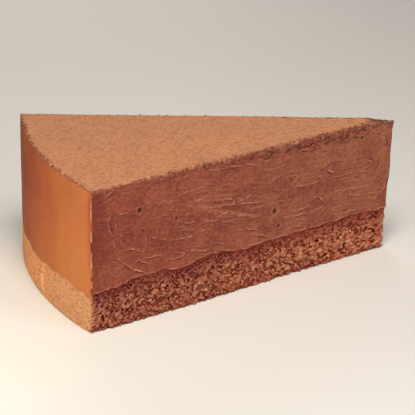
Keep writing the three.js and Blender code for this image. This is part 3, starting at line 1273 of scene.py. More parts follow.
    def skin(self, low: Array, gap: Array) -> tuple[Array, Array]:
        """Lays a mesh of four-sided faces on the surface of the carved grid.

        Args:
            low: The grid's first corner.
            gap: Distance out of the crumb at each grid point.

        Returns:
            The vertices, and the faces.
        """
        inside = gap < 0.0
        corners = list(itertools.product((0, 1), repeat=3))
        full = np.array(gap.shape) - 1
        count = np.zeros(full, int)
        for corner in corners:
            count += inside[tuple(slice(c, c + f) for c, f in zip(corner, full))]
        cells = np.argwhere((count > 0) & (count < 8))
        values = np.stack([gap[tuple((cells + c).T)] for c in corners], 1)
        total = np.zeros((len(cells), 3))
        hits = np.zeros(len(cells))
        for a, b in itertools.combinations(range(8), 2):
            start, stop = np.array(corners[a]), np.array(corners[b])
            if np.abs(start - stop).sum() != 1:
                continue
            crossed = (values[:, a] < 0.0) != (values[:, b] < 0.0)
            spread = np.where(crossed, values[:, a] - values[:, b], 1.0)
            share = np.where(crossed, values[:, a] / spread, 0.0)
            total += crossed[:, None] * (start + share[:, None] * (stop - start))
            hits += crossed
        vertices = low + self.cell * (cells + total / hits[:, None])
        number = np.full(full, -1)
        number[tuple(cells.T)] = np.arange(len(cells))
        faces = []
        for axis in range(3):
            one, two = (axis + 1) % 3, (axis + 2) % 3
            step = np.eye(3, dtype=int)
            span = [slice(1, -1)] * 3
            span[axis] = slice(0, -1)
            ahead = list(span)
            ahead[axis] = slice(1, None)
            start, stop = inside[tuple(span)], inside[tuple(ahead)]
            edges = np.argwhere(start != stop)
            offset = np.ones(3, int)
            offset[axis] = 0
            edge = edges + offset
            ring = [edge - step[one] - step[two], edge - step[two], edge, edge - step[one]]
            quad = np.stack([number[tuple(r.T)] for r in ring], 1)
            leaving = start[tuple(edges.T)]
            faces.append(np.where(leaving[:, None], quad, quad[:, ::-1]))
        return vertices, np.concatenate(faces)

    def whole(self, vertices: Array, faces: Array) -> tuple[Array, Array]:
        """Drops closed bubbles and loose crumbs, so that one connected skin is left.

        Args:
            vertices: The skin's vertices.
            faces: The skin's faces.

        Returns:
            The vertices and faces of the largest connected part.
        """
        label = np.arange(len(vertices))
        while True:
            lowest = label[faces].min(1)
            after = label.copy()
            for column in range(4):
                np.minimum.at(after, faces[:, column], lowest)
            after = after[after]
            if np.array_equal(after, label):
                break
            label = after
        keep = label == np.bincount(label).argmax()
        renumber = np.cumsum(keep) - 1
        return vertices[keep], renumber[faces[keep[faces[:, 0]]]]

    def build(self) -> bpy.types.Object:
        """Makes the sponge's mesh.

        Returns:
            The piece.
        """
        low, gap, owner = self.carve()
        vertices, faces = self.whole(*self.skin(low, gap))
        cell = np.clip(np.round((vertices - low) / self.cell).astype(int), 0, np.array(gap.shape) - 1)
        tones = np.random.default_rng(self.seed + 1).uniform(0.0, 1.0, owner.max() + 1)
        cut, rim = self.face_gaps(vertices)
        below = self.seam_at(vertices) - vertices[:, 2]
        # The colour value for the gaps is painted shade: darker the deeper a place lies behind the face, and
        # darker just under the mousse's lip.
        shaded = 0.75 * ease(below, *self.shaded_band) * (cut > rim)
        values = {
            "painted_shade": np.clip(np.maximum(-np.maximum(cut, rim) / self.dark_depth, shaded), 0.0, 1.0),
            "tone": tones[owner[tuple(cell.T)]],
            "crease": self.crease(vertices),
            "moist": ease(below, *self.moist_band),
            "rim": ease(rim - cut, -0.5, 0.5),
        }
        piece = make_piece("sponge", vertices, faces.tolist(), values)
        thin = piece.modifiers.new("thin_out", "DECIMATE")
        thin.ratio = min(1.0, self.triangles / (2 * len(faces)))
        graph = bpy.context.evaluated_depsgraph_get()
        thinned = bpy.data.meshes.new_from_object(piece.evaluated_get(graph))
        piece.modifiers.clear()
        piece.data = thinned
        piece.data.shade_smooth()
        return piece


@dataclass
class CocoaDusting:
    """The dusting of cocoa: a grainy top, with a dark crumbly edge where the knife went through."""

    wedge: Wedge
    lines: LayerLines
    rows: int = 372
    lanes: int = 228
    wall_rows: int = 6
    wall_height: float = 2.5
    wall_crag: float = 0.28
    wall_proud: float = 0.06
    wall_tuck: float = 0.9
    rim_tuck: float = 0.5
    tip_turn: float = 14.0
    set_back: float = 0.2
    chip: float = 0.6
    chip_size: float = 1.7
    chip_drift: float = 6.0
    chip_start: tuple = (0.3, 3.0)
    chip_end: float = 4.0
    chip_reach: float = 3.0
    rim_chip: float = 0.45
    rim_chip_size: float = 1.8
    rim_chip_reach: float = 2.0
    # Reach of the painted shadow line along the rim's top edge.
    rim_shadow_line: float = 1.5
    swell: float = 0.12
    swell_size: tuple = (18.0, 14.0)
    grain: float = 0.06
    lump_size: float = 1.0
    granule_cell: float = 0.85
    granule_height: float = 0.38
    granule_seed: int = 77
    granule_table: int = 128
    pit_size: float = 2.0
    pit_heights: tuple = (0.18, 0.02)
    brink_reach: float = 0.5
    brink_drop: float = 0.35
    bare_size: float = 2.4
    bare_span: tuple = (8.5, 4.5)
    crag: float = 0.16
    crag_size: float = 1.3
    ragged_size: float = 1.2
    broken_reach: float = 1.1
    broken_growth: tuple = (45.0, 85.0)
    speck_size: float = 0.9
    speck_reach: float = 1.9
    far_calm: float = 0.6
    calm_reach: tuple = (3.0, 0.5)
    noise: ReliefNoise = ReliefNoise(71)

    def plan(self) -> tuple[Array, Array]:
        """Places of the grid that covers the top, in arcs from the rim to the tip.

        Returns:
            The places, and their distances from the nearer cut side.
        """
        wedge = self.wedge
        length = wedge.cut_length()
        along = np.linspace(0.0, length, self.rows)
        edge = wedge.corner(Side.FAR) + along[:, None] * wedge.run(Side.FAR)
        normal = wedge.cut_normal(Side.FAR)
        tip_bulge = -math.tan(math.atan2(normal[1], normal[0]) / 2)
        rim_bulge = math.tan(wedge.half_angle / 2)
        bulge = rim_bulge + (tip_bulge - rim_bulge) * ease(along, length - self.tip_turn, length)
        bulge = np.where(np.abs(bulge) < 1e-4, 1e-4, bulge)
        half_turn = 2.0 * np.arctan(bulge)
        radius = edge[:, 1] / np.sin(half_turn)
        turn = half_turn[:, None] * np.linspace(-1.0, 1.0, self.lanes)
        across = radius[:, None] * np.sin(turn)
        x = edge[:, :1] - radius[:, None] * (np.cos(turn) - np.cos(half_turn)[:, None])
        level = np.stack([x, np.abs(across)], -1)
        inset = -((level - wedge.corner(Side.FAR)) @ normal)
        return np.stack([x, across], -1), np.maximum(inset, 0.0)

    def granules(self, x: Array, y: Array) -> tuple[Array, Array]:
        """Rounded grains of powder, one in each cell of a lattice, at uneven places and sizes.

        Args:
            x: Places along the slice.
            y: Places across it.

        Returns:
            The height of the grains, 0 between them, and a tone for each grain, from 0 to 1.
        """
        count = self.granule_table
        table = np.random.default_rng(self.granule_seed).uniform(size=(count, count, 4))
        column, row = np.floor(x / self.granule_cell), np.floor(y / self.granule_cell)
        height = np.zeros(x.shape)
        tone = np.full(x.shape, 0.5)
        for right, up in itertools.product((-1, 0, 1), repeat=2):
            drawn = table[(column + right).astype(int) % count, (row + up).astype(int) % count]
            away_x = x / self.granule_cell - (column + right + drawn[..., 0])
            away_y = y / self.granule_cell - (row + up + drawn[..., 1])
            ball = (0.3 + 0.4 * drawn[..., 2]) ** 2 - away_x**2 - away_y**2
            bump = self.granule_cell * np.sqrt(np.clip(ball, 0.0, None))
            tone = np.where(bump > height, drawn[..., 3], tone)
            height = np.maximum(height, bump)
        return height, tone

    def by_side(self, near: Array, far: Array, side: Array) -> Array:
        """Picks the near or the far side's direction for each place."""
        return np.where(side[..., None] < 0.0, near, far)

    def sheet(self) -> dict[str, Array]:
        """The top with its grains, pits, rounded brink and torn edge.

        Returns:
            The vertices, and what the wall and the material need of them, by name.
        """
        wedge = self.wedge
        place, inset = self.plan()
        side = np.where(place[..., 1] < 0.0, -1.0, 1.0)
        run = self.by_side(wedge.run(Side.NEAR), wedge.run(Side.FAR), side)
        outward = self.by_side(wedge.cut_normal(Side.NEAR), wedge.cut_normal(Side.FAR), side)
        corner = self.by_side(wedge.corner(Side.NEAR), wedge.corner(Side.FAR), side)
        along = np.clip(((place - corner) * run).sum(-1), 0.0, None)
        from_rim = wedge.radius - np.hypot(place[..., 0] - wedge.tip_x, place[..., 1])
        to_tip = wedge.cut_length() - along

        bend = np.clip(1.0 - np.stack([inset, from_rim]) / wedge.corner_round, 0.0, 1.0).prod(0)
        place = place + (0.3 * wedge.corner_round * bend**2)[..., None] * (run - outward)
        torn = self.lines.torn(along, np.ones(along.shape))
        frayed = (0.35 + 0.65 * torn) * np.where(side < 0.0, 1.0, self.far_calm)
        fine = self.noise.layered(along / self.chip_size, side * 5.0 + 3.5, octaves=3)
        coarse = self.noise.at(along / self.chip_drift, side * 5.0 + 13.5)
        chip = self.chip * np.clip(0.3 + 0.6 * fine + 0.4 * coarse, 0.0, 1.0) * frayed
        chip = chip * ease(from_rim, *self.chip_start) * ease(to_tip, 0.0, self.chip_end)
        back = self.set_back * ease(from_rim, 0.0, 1.0) * ease(to_tip, 0.0, 3.0) + chip
        back = back * np.clip(1.0 - inset / self.chip_reach, 0.0, 1.0) ** 2
        place = place - back[..., None] * outward

        inward = np.array([wedge.tip_x, 0.0]) - place
        inward = inward / np.linalg.norm(inward, axis=-1, keepdims=True)
        arc = wedge.radius * np.arctan2(place[..., 1], wedge.tip_x - place[..., 0])
        ragged_rim = self.noise.layered(arc / self.rim_chip_size, 23.5, octaves=3)
        ragged_rim = np.clip(0.15 + 0.7 * ragged_rim, 0.0, 1.0)
        near_rim = np.clip(1.0 - from_rim / self.rim_chip_reach, 0.0, 1.0) ** 2
        rim_back = self.rim_chip * ragged_rim * near_rim * ease(inset, 0.0, self.rim_chip_reach)
        place = place + rim_back[..., None] * inward
        x, y = place[..., 0], place[..., 1]

        def speckled(size: float, plane: float, octaves: int = 2) -> Array:
            """Noise of one size over the top."""
            return self.noise.over((size, size), (x, y), plane, octaves)

        swell = self.swell * self.noise.over(self.swell_size, (x, y), 21.5)
        height, tone = self.granules(x, y)
        # Pits between the granules, where the finish paints shade.
        pits = ease(height, *self.pit_heights) * ease(speckled(self.pit_size, 41.5), -0.5, 0.4)
        brink = np.clip(1.0 - np.minimum(inset, from_rim) / self.brink_reach, 0.0, 1.0)
        bare = ease(to_tip + 2.0 * speckled(self.bare_size, 61.5), *self.bare_span)
        crags = bare * speckled(self.crag_size, 81.5, 3)
        calm = 1.0 - self.far_calm * (side > 0.0) * ease(inset, *self.calm_reach)
        grainy = self.grain * speckled(self.lump_size, 31.5) + self.granule_height * (height - 0.25)
        z = self.lines.surface(x) + swell + calm * grainy
        z = z - self.brink_drop * brink**2 + self.crag * crags

        # The torn edge's dark moist crumb, partly painted shade.
        ragged = 0.45 + 0.75 * speckled(self.ragged_size, 51.5)
        reach = (self.broken_reach + ease(along, *self.broken_growth)) * frayed
        broken = ease(inset - reach * ragged, 0.3, -0.1) * (0.7 + 0.3 * torn)
        speck = ease(speckled(self.speck_size, 91.5), 0.2, 0.55)
        broken = np.maximum(broken, 0.85 * speck * frayed * ease(inset, self.speck_reach * torn, 0.2))
        # Painted shadow line along the rim's top edge, under the cocoa's brink.
        rim_shadow_line = ease(from_rim - self.rim_shadow_line * ragged, 0.35, -0.1) * (0.7 + 0.3 * ragged_rim)
        broken = np.maximum(broken, rim_shadow_line)
        shift = wedge.bulge(place, z)
        return {
            "place": np.stack([x + wedge.lean(x, z) + shift[..., 0], y + shift[..., 1], z], -1),
            "along": along,
            "side": side,
            "on_cut": ease(from_rim, 0.2, 1.5),
            "torn": torn,
            "broken": np.maximum(broken, bare * (0.3 + 0.65 * speck)),
            "pit": pits,
            "tone": tone,
            "bare": bare,
        }

    def build(self) -> bpy.types.Object:
        """Makes the cocoa's mesh: the top, the rough wall round it and a flat underside.

        Returns:
            The piece.
        """
        sheet = self.sheet()
        numbers = np.arange(self.rows * self.lanes).reshape(self.rows, self.lanes)
        quads = np.stack([numbers[:-1, :-1], numbers[1:, :-1], numbers[1:, 1:], numbers[:-1, 1:]], -1)
        ends = (numbers[:-1, 0], numbers[-1, :-1], numbers[:0:-1, -1], numbers[0, :0:-1])
        ring = np.concatenate(ends)
        edge = sheet["place"].reshape(-1, 3)[ring]
        ahead = np.roll(edge, -2, 0) - np.roll(edge, 2, 0)
        out = np.stack([ahead[:, 1], -ahead[:, 0]], 1)
        out /= np.linalg.norm(out, axis=1, keepdims=True)
        on_cut, torn, along, side = (sheet[k].ravel()[ring] for k in ("on_cut", "torn", "along", "side"))
        near_tip = self.wedge.near_tip(edge[:, 0])
        walls = []
        for share in np.linspace(0.0, 1.0, self.wall_rows + 1)[1:]:
            down = self.wall_height * share * (0.35 + 0.65 * on_cut * torn)
            crag = self.noise.layered(along, side * 9.0 + 2.4 * share, 71.5, 3)
            flush = on_cut * torn * (self.wall_crag * crag + self.wall_proud)
            tuck = ease(share, 0.6, 1.0) * (self.wall_tuck - 0.5 * near_tip)
            tuck = tuck + self.rim_tuck * share * (1.0 - on_cut)
            wall = edge.copy()
            wall[:, 2] -= down
            wall[:, :2] += (flush - tuck)[:, None] * out
            walls.append(wall)
        vertices = np.concatenate([sheet["place"].reshape(-1, 3), *walls])
        faces = quads.reshape(-1, 4).tolist()
        upper = ring
        for row in range(self.wall_rows):
            lower = self.rows * self.lanes + row * len(ring) + np.arange(len(ring))
            faces += np.stack([upper, lower, np.roll(lower, -1), np.roll(upper, -1)], 1).tolist()
            upper = lower
        faces.append(upper[::-1].tolist())

        def walled(name: str, wall: Array) -> Array:
            """Adds the values of the wall's rows to those of the top."""
            return np.concatenate([sheet[name].ravel(), np.tile(wall, self.wall_rows)])

        # The side wall is kept dark: dark moist crumb, with painted shade.
        dark = np.maximum(sheet["broken"].ravel()[ring], 0.82 + 0.18 * on_cut * torn)
        values = {name: walled(name, sheet[name].ravel()[ring]) for name in ("tone", "bare")}
        values["broken"] = walled("broken", dark)
        values["pit"] = walled("pit", np.zeros(len(ring)))
        return make_piece("cocoa_top", vertices, faces, values)


@dataclass
class EdgeCrumbs:
    """Small dark crumbs that stick to the torn top edges."""

    wedge: Wedge
    lines: LayerLines
    count: int = 520
    far_count: int = 180
    smallest: float = 0.07
    largest: float = 0.3
    along_share: float = 0.8
    thinning: float = 1.2
    inset_mean: float = 0.5
    inset_least: float = 0.3
    edge_band: float = 0.5
    edge_drop: tuple = (0.2, 1.2)
    top_drop: tuple = (0.0, 0.1)
    stretch: tuple = (0.7, 1.25)
    lumpy: float = 0.18
    seed: int = 91

    def crumb(self) -> tuple[Array, Array]:
        """A ball of small faces, of radius 1.

        Returns:
            Its vertices and faces.
        """
        shape = bmesh.new()
        bmesh.ops.create_icosphere(shape, subdivisions=2, radius=1.0)
        vertices = np.array([v.co for v in shape.verts])
        faces = np.array([[v.index for v in f.verts] for f in shape.faces])
        shape.free()
        return vertices, faces

    def build(self) -> bpy.types.Object:
        """Makes all the crumbs as one mesh.

        Returns:
            The piece.
        """
        draw = np.random.default_rng(self.seed)
        ball, ball_faces = self.crumb()
        vertices, faces, tones = [], [], []
        length = self.wedge.cut_length()
        for side in Side:
            for _ in range(self.count if side is Side.NEAR else self.far_count):
                along = length * (1.0 - self.along_share * draw.uniform() ** self.thinning)
                size = self.smallest + (self.largest - self.smallest) * draw.uniform() ** 2
                inset = draw.exponential(self.inset_mean) + self.inset_least
                plan = self.wedge.corner(side) + along * self.wedge.run(side)
                plan = plan - inset * self.wedge.cut_normal(side)
                drop = draw.uniform(*(self.edge_drop if inset < self.edge_band else self.top_drop))
                z = float(self.lines.surface(np.array(plan[0]))) - drop
                lean = float(self.wedge.lean(np.array(plan[0]), np.array(z)))
                shape = ball * draw.uniform(*self.stretch, 3)
                shape = shape * (1.0 + self.lumpy * draw.normal(size=(len(ball), 1)))
                faces.append(ball_faces + len(vertices) * len(ball))
                vertices.append(size * shape + np.array([plan[0] + lean, plan[1], z]))
                tones.append(np.full(len(ball), draw.uniform(0.0, 1.0)))
        tone = np.concatenate(tones)
        values = {"broken": tone, "tone": tone, "pit": np.zeros(len(tone)), "bare": np.zeros(len(tone))}
        return make_piece("edge_crumbs", np.concatenate(vertices), np.concatenate(faces).tolist(), values)


class NodeKit:
    """Makes and links the nodes of one material or group."""

    def __init__(self, tree: bpy.types.NodeTree) -> None:
        """Takes the tree of a material or a group."""
        self.tree = tree

    def feed(self, socket: Socket, value: Feed) -> None:
        """Links a socket to another, or sets its value.

        Args:
            socket: The input.
            value: A socket, a number or a colour.
        """
        if isinstance(value, Socket):
            self.tree.links.new(value, socket)
            return
        if isinstance(value, tuple) and socket.type == "RGBA":
            value = (*value, 1.0)
        socket.default_value = value

    def node(self, kind: str, inputs: dict | None = None, **settings: object) -> Node:
        """Adds a node.

        Args:
            kind: The node's type, without the ShaderNode at its start.
            inputs: Values or sockets for its inputs, by name or number.
            settings: Values for its own properties.

        Returns:
            The node.
        """
        made = self.tree.nodes.new("ShaderNode" + kind)
        for key, value in settings.items():
            setattr(made, key, value)
        for key, value in (inputs or {}).items():
            self.feed(made.inputs[key], value)
        return made

    def math(self, operation: str, first: Feed, second: Feed = 0.0) -> Socket:
        """The result of a sum on one or two values."""
        return self.node("Math", {0: first, 1: second}, operation=operation).outputs[0]

    def times(self, first: Feed, second: Feed) -> Socket:
        """A value times another."""
        return self.math("MULTIPLY", first, second)

    def total(self, *parts: tuple[Feed, Feed], base: float = 0.0) -> Socket:
        """Adds up values, each with its own weight.

        Args:
            parts: The values and their weights.
            base: What the sum starts from.

        Returns:
            The sum.
        """
        result: Feed = base
        for value, weight in parts:
            inputs = {0: value, 1: weight, 2: result}
            result = self.node("Math", inputs, operation="MULTIPLY_ADD").outputs[0]
        return result

    def mix(self, share: Feed, first: Feed, second: Feed) -> Socket:
        """A colour between two others."""
        return self.node("Mix", {0: share, 6: first, 7: second}, data_type="RGBA").outputs[2]

    def span(self, value: Feed, low: float, high: float) -> Socket:
        """A smooth step from 0 at low to 1 at high."""
        inputs = {"Value": value, "From Min": low, "From Max": high}
        return self.node("MapRange", inputs, interpolation_type="SMOOTHSTEP").outputs[0]

    def scaled(self, vector: Feed, factors: tuple) -> Socket:
        """A vector with each part multiplied by its own factor."""
        return self.node("VectorMath", {0: vector, 1: factors}, operation="MULTIPLY").outputs[0]

    def noise(self, vector: Feed, detail: float, roughness: float = 0.5) -> Socket:
        """Noise of unit size, from 0 to 1."""
        inputs = {"Vector": vector, "Scale": 1.0, "Detail": detail, "Roughness": roughness}
        return self.node("TexNoise", inputs).outputs[0]

    def read(self, name: str) -> Socket:
        """A number that the mesh holds for each vertex."""
        return self.node("Attribute", attribute_name=name).outputs["Fac"]

    def read_vector(self, name: str) -> Socket:
        """A vector that the mesh holds for each vertex."""
        return self.node("Attribute", attribute_name=name).outputs["Vector"]

    def millimetres(self) -> Socket:
        """The place on the slice, in millimetres."""
        place = self.node("TexCoord").outputs["Object"]
        return self.scaled(place, (1.0 / MM,) * 3)


class SharedEffects:
    """Node groups that several finishes use."""

    def __init__(self) -> None:
        """Builds the groups once."""
        self.drift = self.tone_drift()
        self.grain = self.powder_grain()

    @staticmethod
    def new_group(name: str, outputs: tuple) -> tuple[NodeKit, Socket, Node]:
        """Starts a group that takes a place and a size.

        Args:
            name: The group's name.
            outputs: Names of its outputs.

        Returns:
            A kit for its tree, the place in units of the size, and its output node.
        """
        tree = bpy.data.node_groups.new(name, "ShaderNodeTree")
        tree.interface.new_socket("Place", in_out="INPUT", socket_type="NodeSocketVector")
        size = tree.interface.new_socket("Size", in_out="INPUT", socket_type="NodeSocketFloat")
        size.default_value = 1.0
        for output in outputs:
            tree.interface.new_socket(output, in_out="OUTPUT", socket_type="NodeSocketFloat")
        kit = NodeKit(tree)
        given = tree.nodes.new("NodeGroupInput")
        per_size = kit.math("DIVIDE", 1.0, given.outputs["Size"])
        inputs = {0: given.outputs["Place"], "Scale": per_size}
        place = kit.node("VectorMath", inputs, operation="SCALE").outputs[0]
        return kit, place, tree.nodes.new("NodeGroupOutput")

    def tone_drift(self) -> bpy.types.NodeTree:
        """Slow cloudy change of tone.

        Returns:
            A group with the output Drift, from 0 to 1.
        """
        kit, place, result = self.new_group("tone_drift", ("Drift",))
        cloud = kit.noise(place, 3.0, 0.55)
        kit.feed(result.inputs["Drift"], kit.span(cloud, 0.3, 0.7))
        return kit.tree

    def powder_grain(self) -> bpy.types.NodeTree:
        """Fine grains with small pits between them.

        Returns:
            A group with the outputs Height, about -0.5 to 0.5, and Pits, from 0 to 1.
        """
        kit, place, result = self.new_group("powder_grain", ("Height", "Pits"))
        height = kit.math("SUBTRACT", kit.noise(place, 4.0, 0.7), 0.5)
        cells = kit.node("TexVoronoi", {"Vector": place, "Scale": 0.55}).outputs["Distance"]
        kit.feed(result.inputs["Height"], height)
        kit.feed(result.inputs["Pits"], kit.span(cells, 0.3, 0.12))
        return kit.tree

    def drift_of(self, kit: NodeKit, place: Feed, size: float) -> Socket:
        """Places the tone drift in a material, with its own size."""
        return kit.node("Group", {"Place": place, "Size": size}, node_tree=self.drift).outputs["Drift"]

    def grain_of(self, kit: NodeKit, place: Feed, size: float) -> Node:
        """Places the powder grain in a material, with its own size."""
        return kit.node("Group", {"Place": place, "Size": size}, node_tree=self.grain)


@dataclass(frozen=True)
class Finish:
    """What the three finishes have in common: a named material with one shader."""

    effects: SharedEffects
    specular: float = 0.2

    def start(self, name: str) -> tuple[NodeKit, bpy.types.Material]:
        """Makes an empty material.

        Args:
            name: The material's name.

        Returns:
            A kit for its tree, and the material.
        """
        material = bpy.data.materials.new(name)
        material.use_nodes = True
        material.node_tree.nodes.clear()
        return NodeKit(material.node_tree), material

    def add_shader(self, kit: NodeKit, colour: Feed, roughness: Feed, height: Feed) -> None:
        """Adds the shader.

        Args:
            kit: A kit for the material's tree.
            colour: The base colour.
            roughness: The roughness.
            height: The fine relief, in millimetres.
        """
        bump = kit.node("Bump", {"Strength": 1.0, "Distance": MM, "Height": height})
        inputs = {"Base Color": colour, "Roughness": roughness, "Normal": bump.outputs[0]}
        shader = kit.node("BsdfPrincipled", {**inputs, "Specular IOR Level": self.specular})
        kit.node("OutputMaterial", {"Surface": shader.outputs[0]})


@dataclass(frozen=True)
class MousseFinish(Finish):
    """Satin mousse: reddish brown where the knife smeared it, a little warmer on the moulded rim, with
    painted light on the rim towards the near corner, painted highlights on lips, brims and the corner, and
    painted shade beside lips, in grooves, chips, gouges and opened bubbles.
    """

    deep: tuple = (0.124, 0.0148, 0.0076)
    bright: tuple = (0.228, 0.0530, 0.0226)
    deep_by_tip: tuple = (0.138, 0.0226, 0.0108)
    bright_by_tip: tuple = (0.256, 0.0760, 0.0310)
    # Painted highlight colour for the lips, the seam's lip and the bubbles' brims.
    lip: tuple = (0.55, 0.230, 0.145)
    # Painted shade colour beside the lips, in grooves, chips and gouges.
    groove: tuple = (0.060, 0.012, 0.008)
    # Painted highlight colour for the rounded corner where the rim meets a cut side.
    corner: tuple = (0.52, 0.250, 0.140)
    # Painted shade colour inside opened bubbles.
    hole: tuple = (0.025, 0.006, 0.004)
    # The rim's colours; painted light moves the rim from the deep one to the bright one towards the near
    # corner.
    rim_deep: tuple = (0.252, 0.0455, 0.0182)
    rim_bright: tuple = (0.345, 0.115, 0.0375)
    specular: float = 0.25
    drift_size: float = 11.0
    grain_size: float = 0.34
    streak_scale: tuple = (0.09, 1.1, 1.0)
    fibre_scale: tuple = (0.75, 2.3, 1.0)
    mottle_scale: tuple = (0.45, 0.45, 0.3)
    line_width: tuple = (0.23, 0.05)
    shadow_aside: float = 0.38
    shadow_width: tuple = (0.32, 0.06)

    def material(self) -> bpy.types.Material:
        """Builds the material.

        Returns:
            The material.
        """
        kit, material = self.start("chocolate_mousse")
        place = kit.millimetres()
        height = kit.node("SeparateXYZ", {0: place}).outputs[2]
        flow = kit.read_vector("flow")
        from_rim = kit.node("SeparateXYZ", {0: flow}).outputs[0]
        on_rim = kit.read("rim")
        on_cut = kit.math("SUBTRACT", 1.0, on_rim)
        drift = self.effects.drift_of(kit, place, self.drift_size)
        grain = self.effects.grain_of(kit, place, self.grain_size)
        streak = kit.noise(kit.scaled(flow, self.streak_scale), 4.0, 0.6)
        fibre = kit.noise(kit.scaled(flow, self.fibre_scale), 3.0, 0.65)
        fibre = kit.math("SUBTRACT", fibre, 0.5)
        mottle = kit.noise(kit.scaled(place, self.mottle_scale), 4.0, 0.65)

        gap = kit.read("lip_gap")
        lip = kit.read("lip")
        on_line = kit.span(kit.math("ABSOLUTE", gap), *self.line_width)
        # Painted shadow just below each lip.
        shadow = kit.math("ABSOLUTE", kit.math("ADD", gap, self.shadow_aside))
        beside = kit.span(shadow, *self.shadow_width)
        # Painted highlight on the lips and pale ridges, which also raises the bump.
        raised = kit.math("MAXIMUM", kit.times(on_line, lip), kit.read("pale"))
        # Painted shade beside the lips and in grooves, which also lowers the bump.
        shaded_dip = kit.math("MAXIMUM", kit.times(beside, lip), kit.times(on_line, kit.read("groove")))

        sharp = kit.math("ADD", kit.span(from_rim, 75.0, 20.0), 2.1)
        fine = ((kit.read("crinkle"), 0.34), (kit.read("ripple"), 0.45), (fibre, sharp))
        by_rim = kit.span(from_rim, 9.0, 1.0)
        tone = kit.total((drift, 0.45), (streak, 0.65), *fine, (by_rim, -0.38), base=-0.05)
        to_tip = kit.span(from_rim, 20.0, 100.0)
        deep = kit.mix(to_tip, self.deep, self.deep_by_tip)
        bright = kit.mix(to_tip, self.bright, self.bright_by_tip)
        smeared = kit.mix(tone, deep, bright)
        # Painted shade, then painted highlight, along the knife's lines.
        smeared = kit.mix(kit.times(shaded_dip, 0.95), smeared, self.groove)
        smeared = kit.mix(kit.times(raised, 0.72), smeared, self.lip)

        # Painted light: the rim is brighter towards the near corner and darker towards the far side. It is
        # also made lighter towards the bottom.
        painted_light_by_corner = kit.span(from_rim, 10.0, -36.0)
        lower = kit.span(height, 34.0, 14.0)
        moulded = kit.total((painted_light_by_corner, 0.8), (drift, 0.3), (mottle, 0.45), (lower, 0.3), base=-0.279)
        moulded = kit.mix(moulded, self.rim_deep, self.rim_bright)
        colour = kit.mix(on_rim, smeared, moulded)
        # Painted highlight on the corner.
        colour = kit.mix(kit.times(kit.read("corner"), 0.6), colour, self.corner)
        # Painted shade in chips and gouges.
        colour = kit.mix(kit.times(kit.read("chip"), 0.8), colour, self.groove)
        # Painted shade inside the opened bubbles.
        colour = kit.mix(kit.read("bubble"), colour, self.hole)

        gloss = kit.math("MAXIMUM", kit.total((streak, 0.2), base=0.42), kit.times(on_rim, 0.85))
        marks = kit.total((streak, 0.12), (fibre, 0.16), (raised, 0.11), (shaded_dip, -0.11), base=-0.06)
        fine = ((grain.outputs["Height"], 0.03), (grain.outputs["Pits"], -0.012))
        self.add_shader(kit, colour, gloss, kit.total((marks, on_cut), *fine))
        return material


@dataclass(frozen=True)
class SpongeFinish(Finish):
    """Dry open crumb: pale on its walls, with painted shade in its gaps, under the mousse's lip and at its
    foot, moist and redder under the mousse, and a painted highlight on the rim's fold.
    """

    wall: tuple = (0.585, 0.252, 0.136)
    shade: tuple = (0.255, 0.062, 0.030)
    # Painted shade colour for the crumb's gaps, its small pits and the place under the mousse's lip.
    painted_shade: tuple = (0.180, 0.0285, 0.0110)
    golden: tuple = (0.575, 0.272, 0.116)
    moist: tuple = (0.188, 0.033, 0.0265)
    by_rim: tuple = (0.80, 0.79, 0.92)
    rim_wall: tuple = (0.420, 0.212, 0.115)
    rim_wall_far: tuple = (0.585, 0.262, 0.120)
    rim_dot: tuple = (0.26, 0.090, 0.036)
    # Painted highlight colour for the rim's upright fold.
    fold: tuple = (0.72, 0.430, 0.215)
    drift_size: float = 0.9
    patch_size: float = 2.6
    hue_size: float = 1.6
    grain_size: float = 0.36
    dot_size: float = 0.85

    def material(self) -> bpy.types.Material:
        """Builds the material.

        Returns:
            The material.
        """
        kit, material = self.start("chocolate_sponge")
        place = kit.millimetres()
        x, y, z = kit.node("SeparateXYZ", {0: place}).outputs
        painted_shade = kit.read("painted_shade")
        sizes = (self.drift_size, self.patch_size, self.hue_size)
        drift, patches, hues = (self.effects.drift_of(kit, place, size) for size in sizes)
        grain = self.effects.grain_of(kit, place, self.grain_size)
        height, pits = grain.outputs["Height"], grain.outputs["Pits"]

        tone = kit.total((drift, 0.35), (kit.read("tone"), 0.55), (height, 2.2), base=-0.05)
        crumb = kit.mix(tone, self.shade, kit.mix(hues, self.wall, self.golden))
        wet = kit.math("MINIMUM", kit.total((patches, 0.6), base=0.68), 0.88)
        wet = kit.times(kit.read("moist"), wet)
        crumb = kit.mix(kit.math("MAXIMUM", wet, kit.times(patches, 0.45)), crumb, self.moist)
        # Painted shade in the crumb's gaps and under the mousse's lip.
        crumb = kit.mix(kit.span(painted_shade, 0.2, 0.9), crumb, self.painted_shade)
        # Painted contact shadow: the crumb is darker towards its foot.
        crumb = kit.mix(kit.times(kit.span(z, 2.4, 0.2), 0.45), crumb, self.painted_shade)
        dark_end = {0: kit.span(x, 50.0, -50.0), 6: crumb, 7: self.by_rim}
        crumb = kit.node("Mix", dark_end, data_type="RGBA", blend_type="MULTIPLY").outputs[2]

        skin = kit.mix(kit.span(y, -24.0, 14.0), self.rim_wall, self.rim_wall_far)
        coarse = self.effects.grain_of(kit, place, self.dot_size)
        dots = kit.times(kit.span(coarse.outputs["Height"], -0.02, -0.15), 0.85)
        # Part of the rim's dots is painted shade, from the depth of its pores.
        skin = kit.mix(kit.math("MAXIMUM", dots, kit.span(painted_shade, 0.2, 0.55)), skin, self.rim_dot)
        # Painted highlight along the rim's upright fold.
        skin = kit.mix(kit.times(kit.read("crease"), 0.5), skin, self.fold)
        colour = kit.mix(kit.read("rim"), crumb, skin)
        # Painted shade in the small pits between grains.
        colour = kit.mix(kit.times(pits, 0.3), colour, self.painted_shade)
        self.add_shader(kit, colour, kit.total((drift, 0.15), base=0.8), kit.times(height, 0.15))
        return material


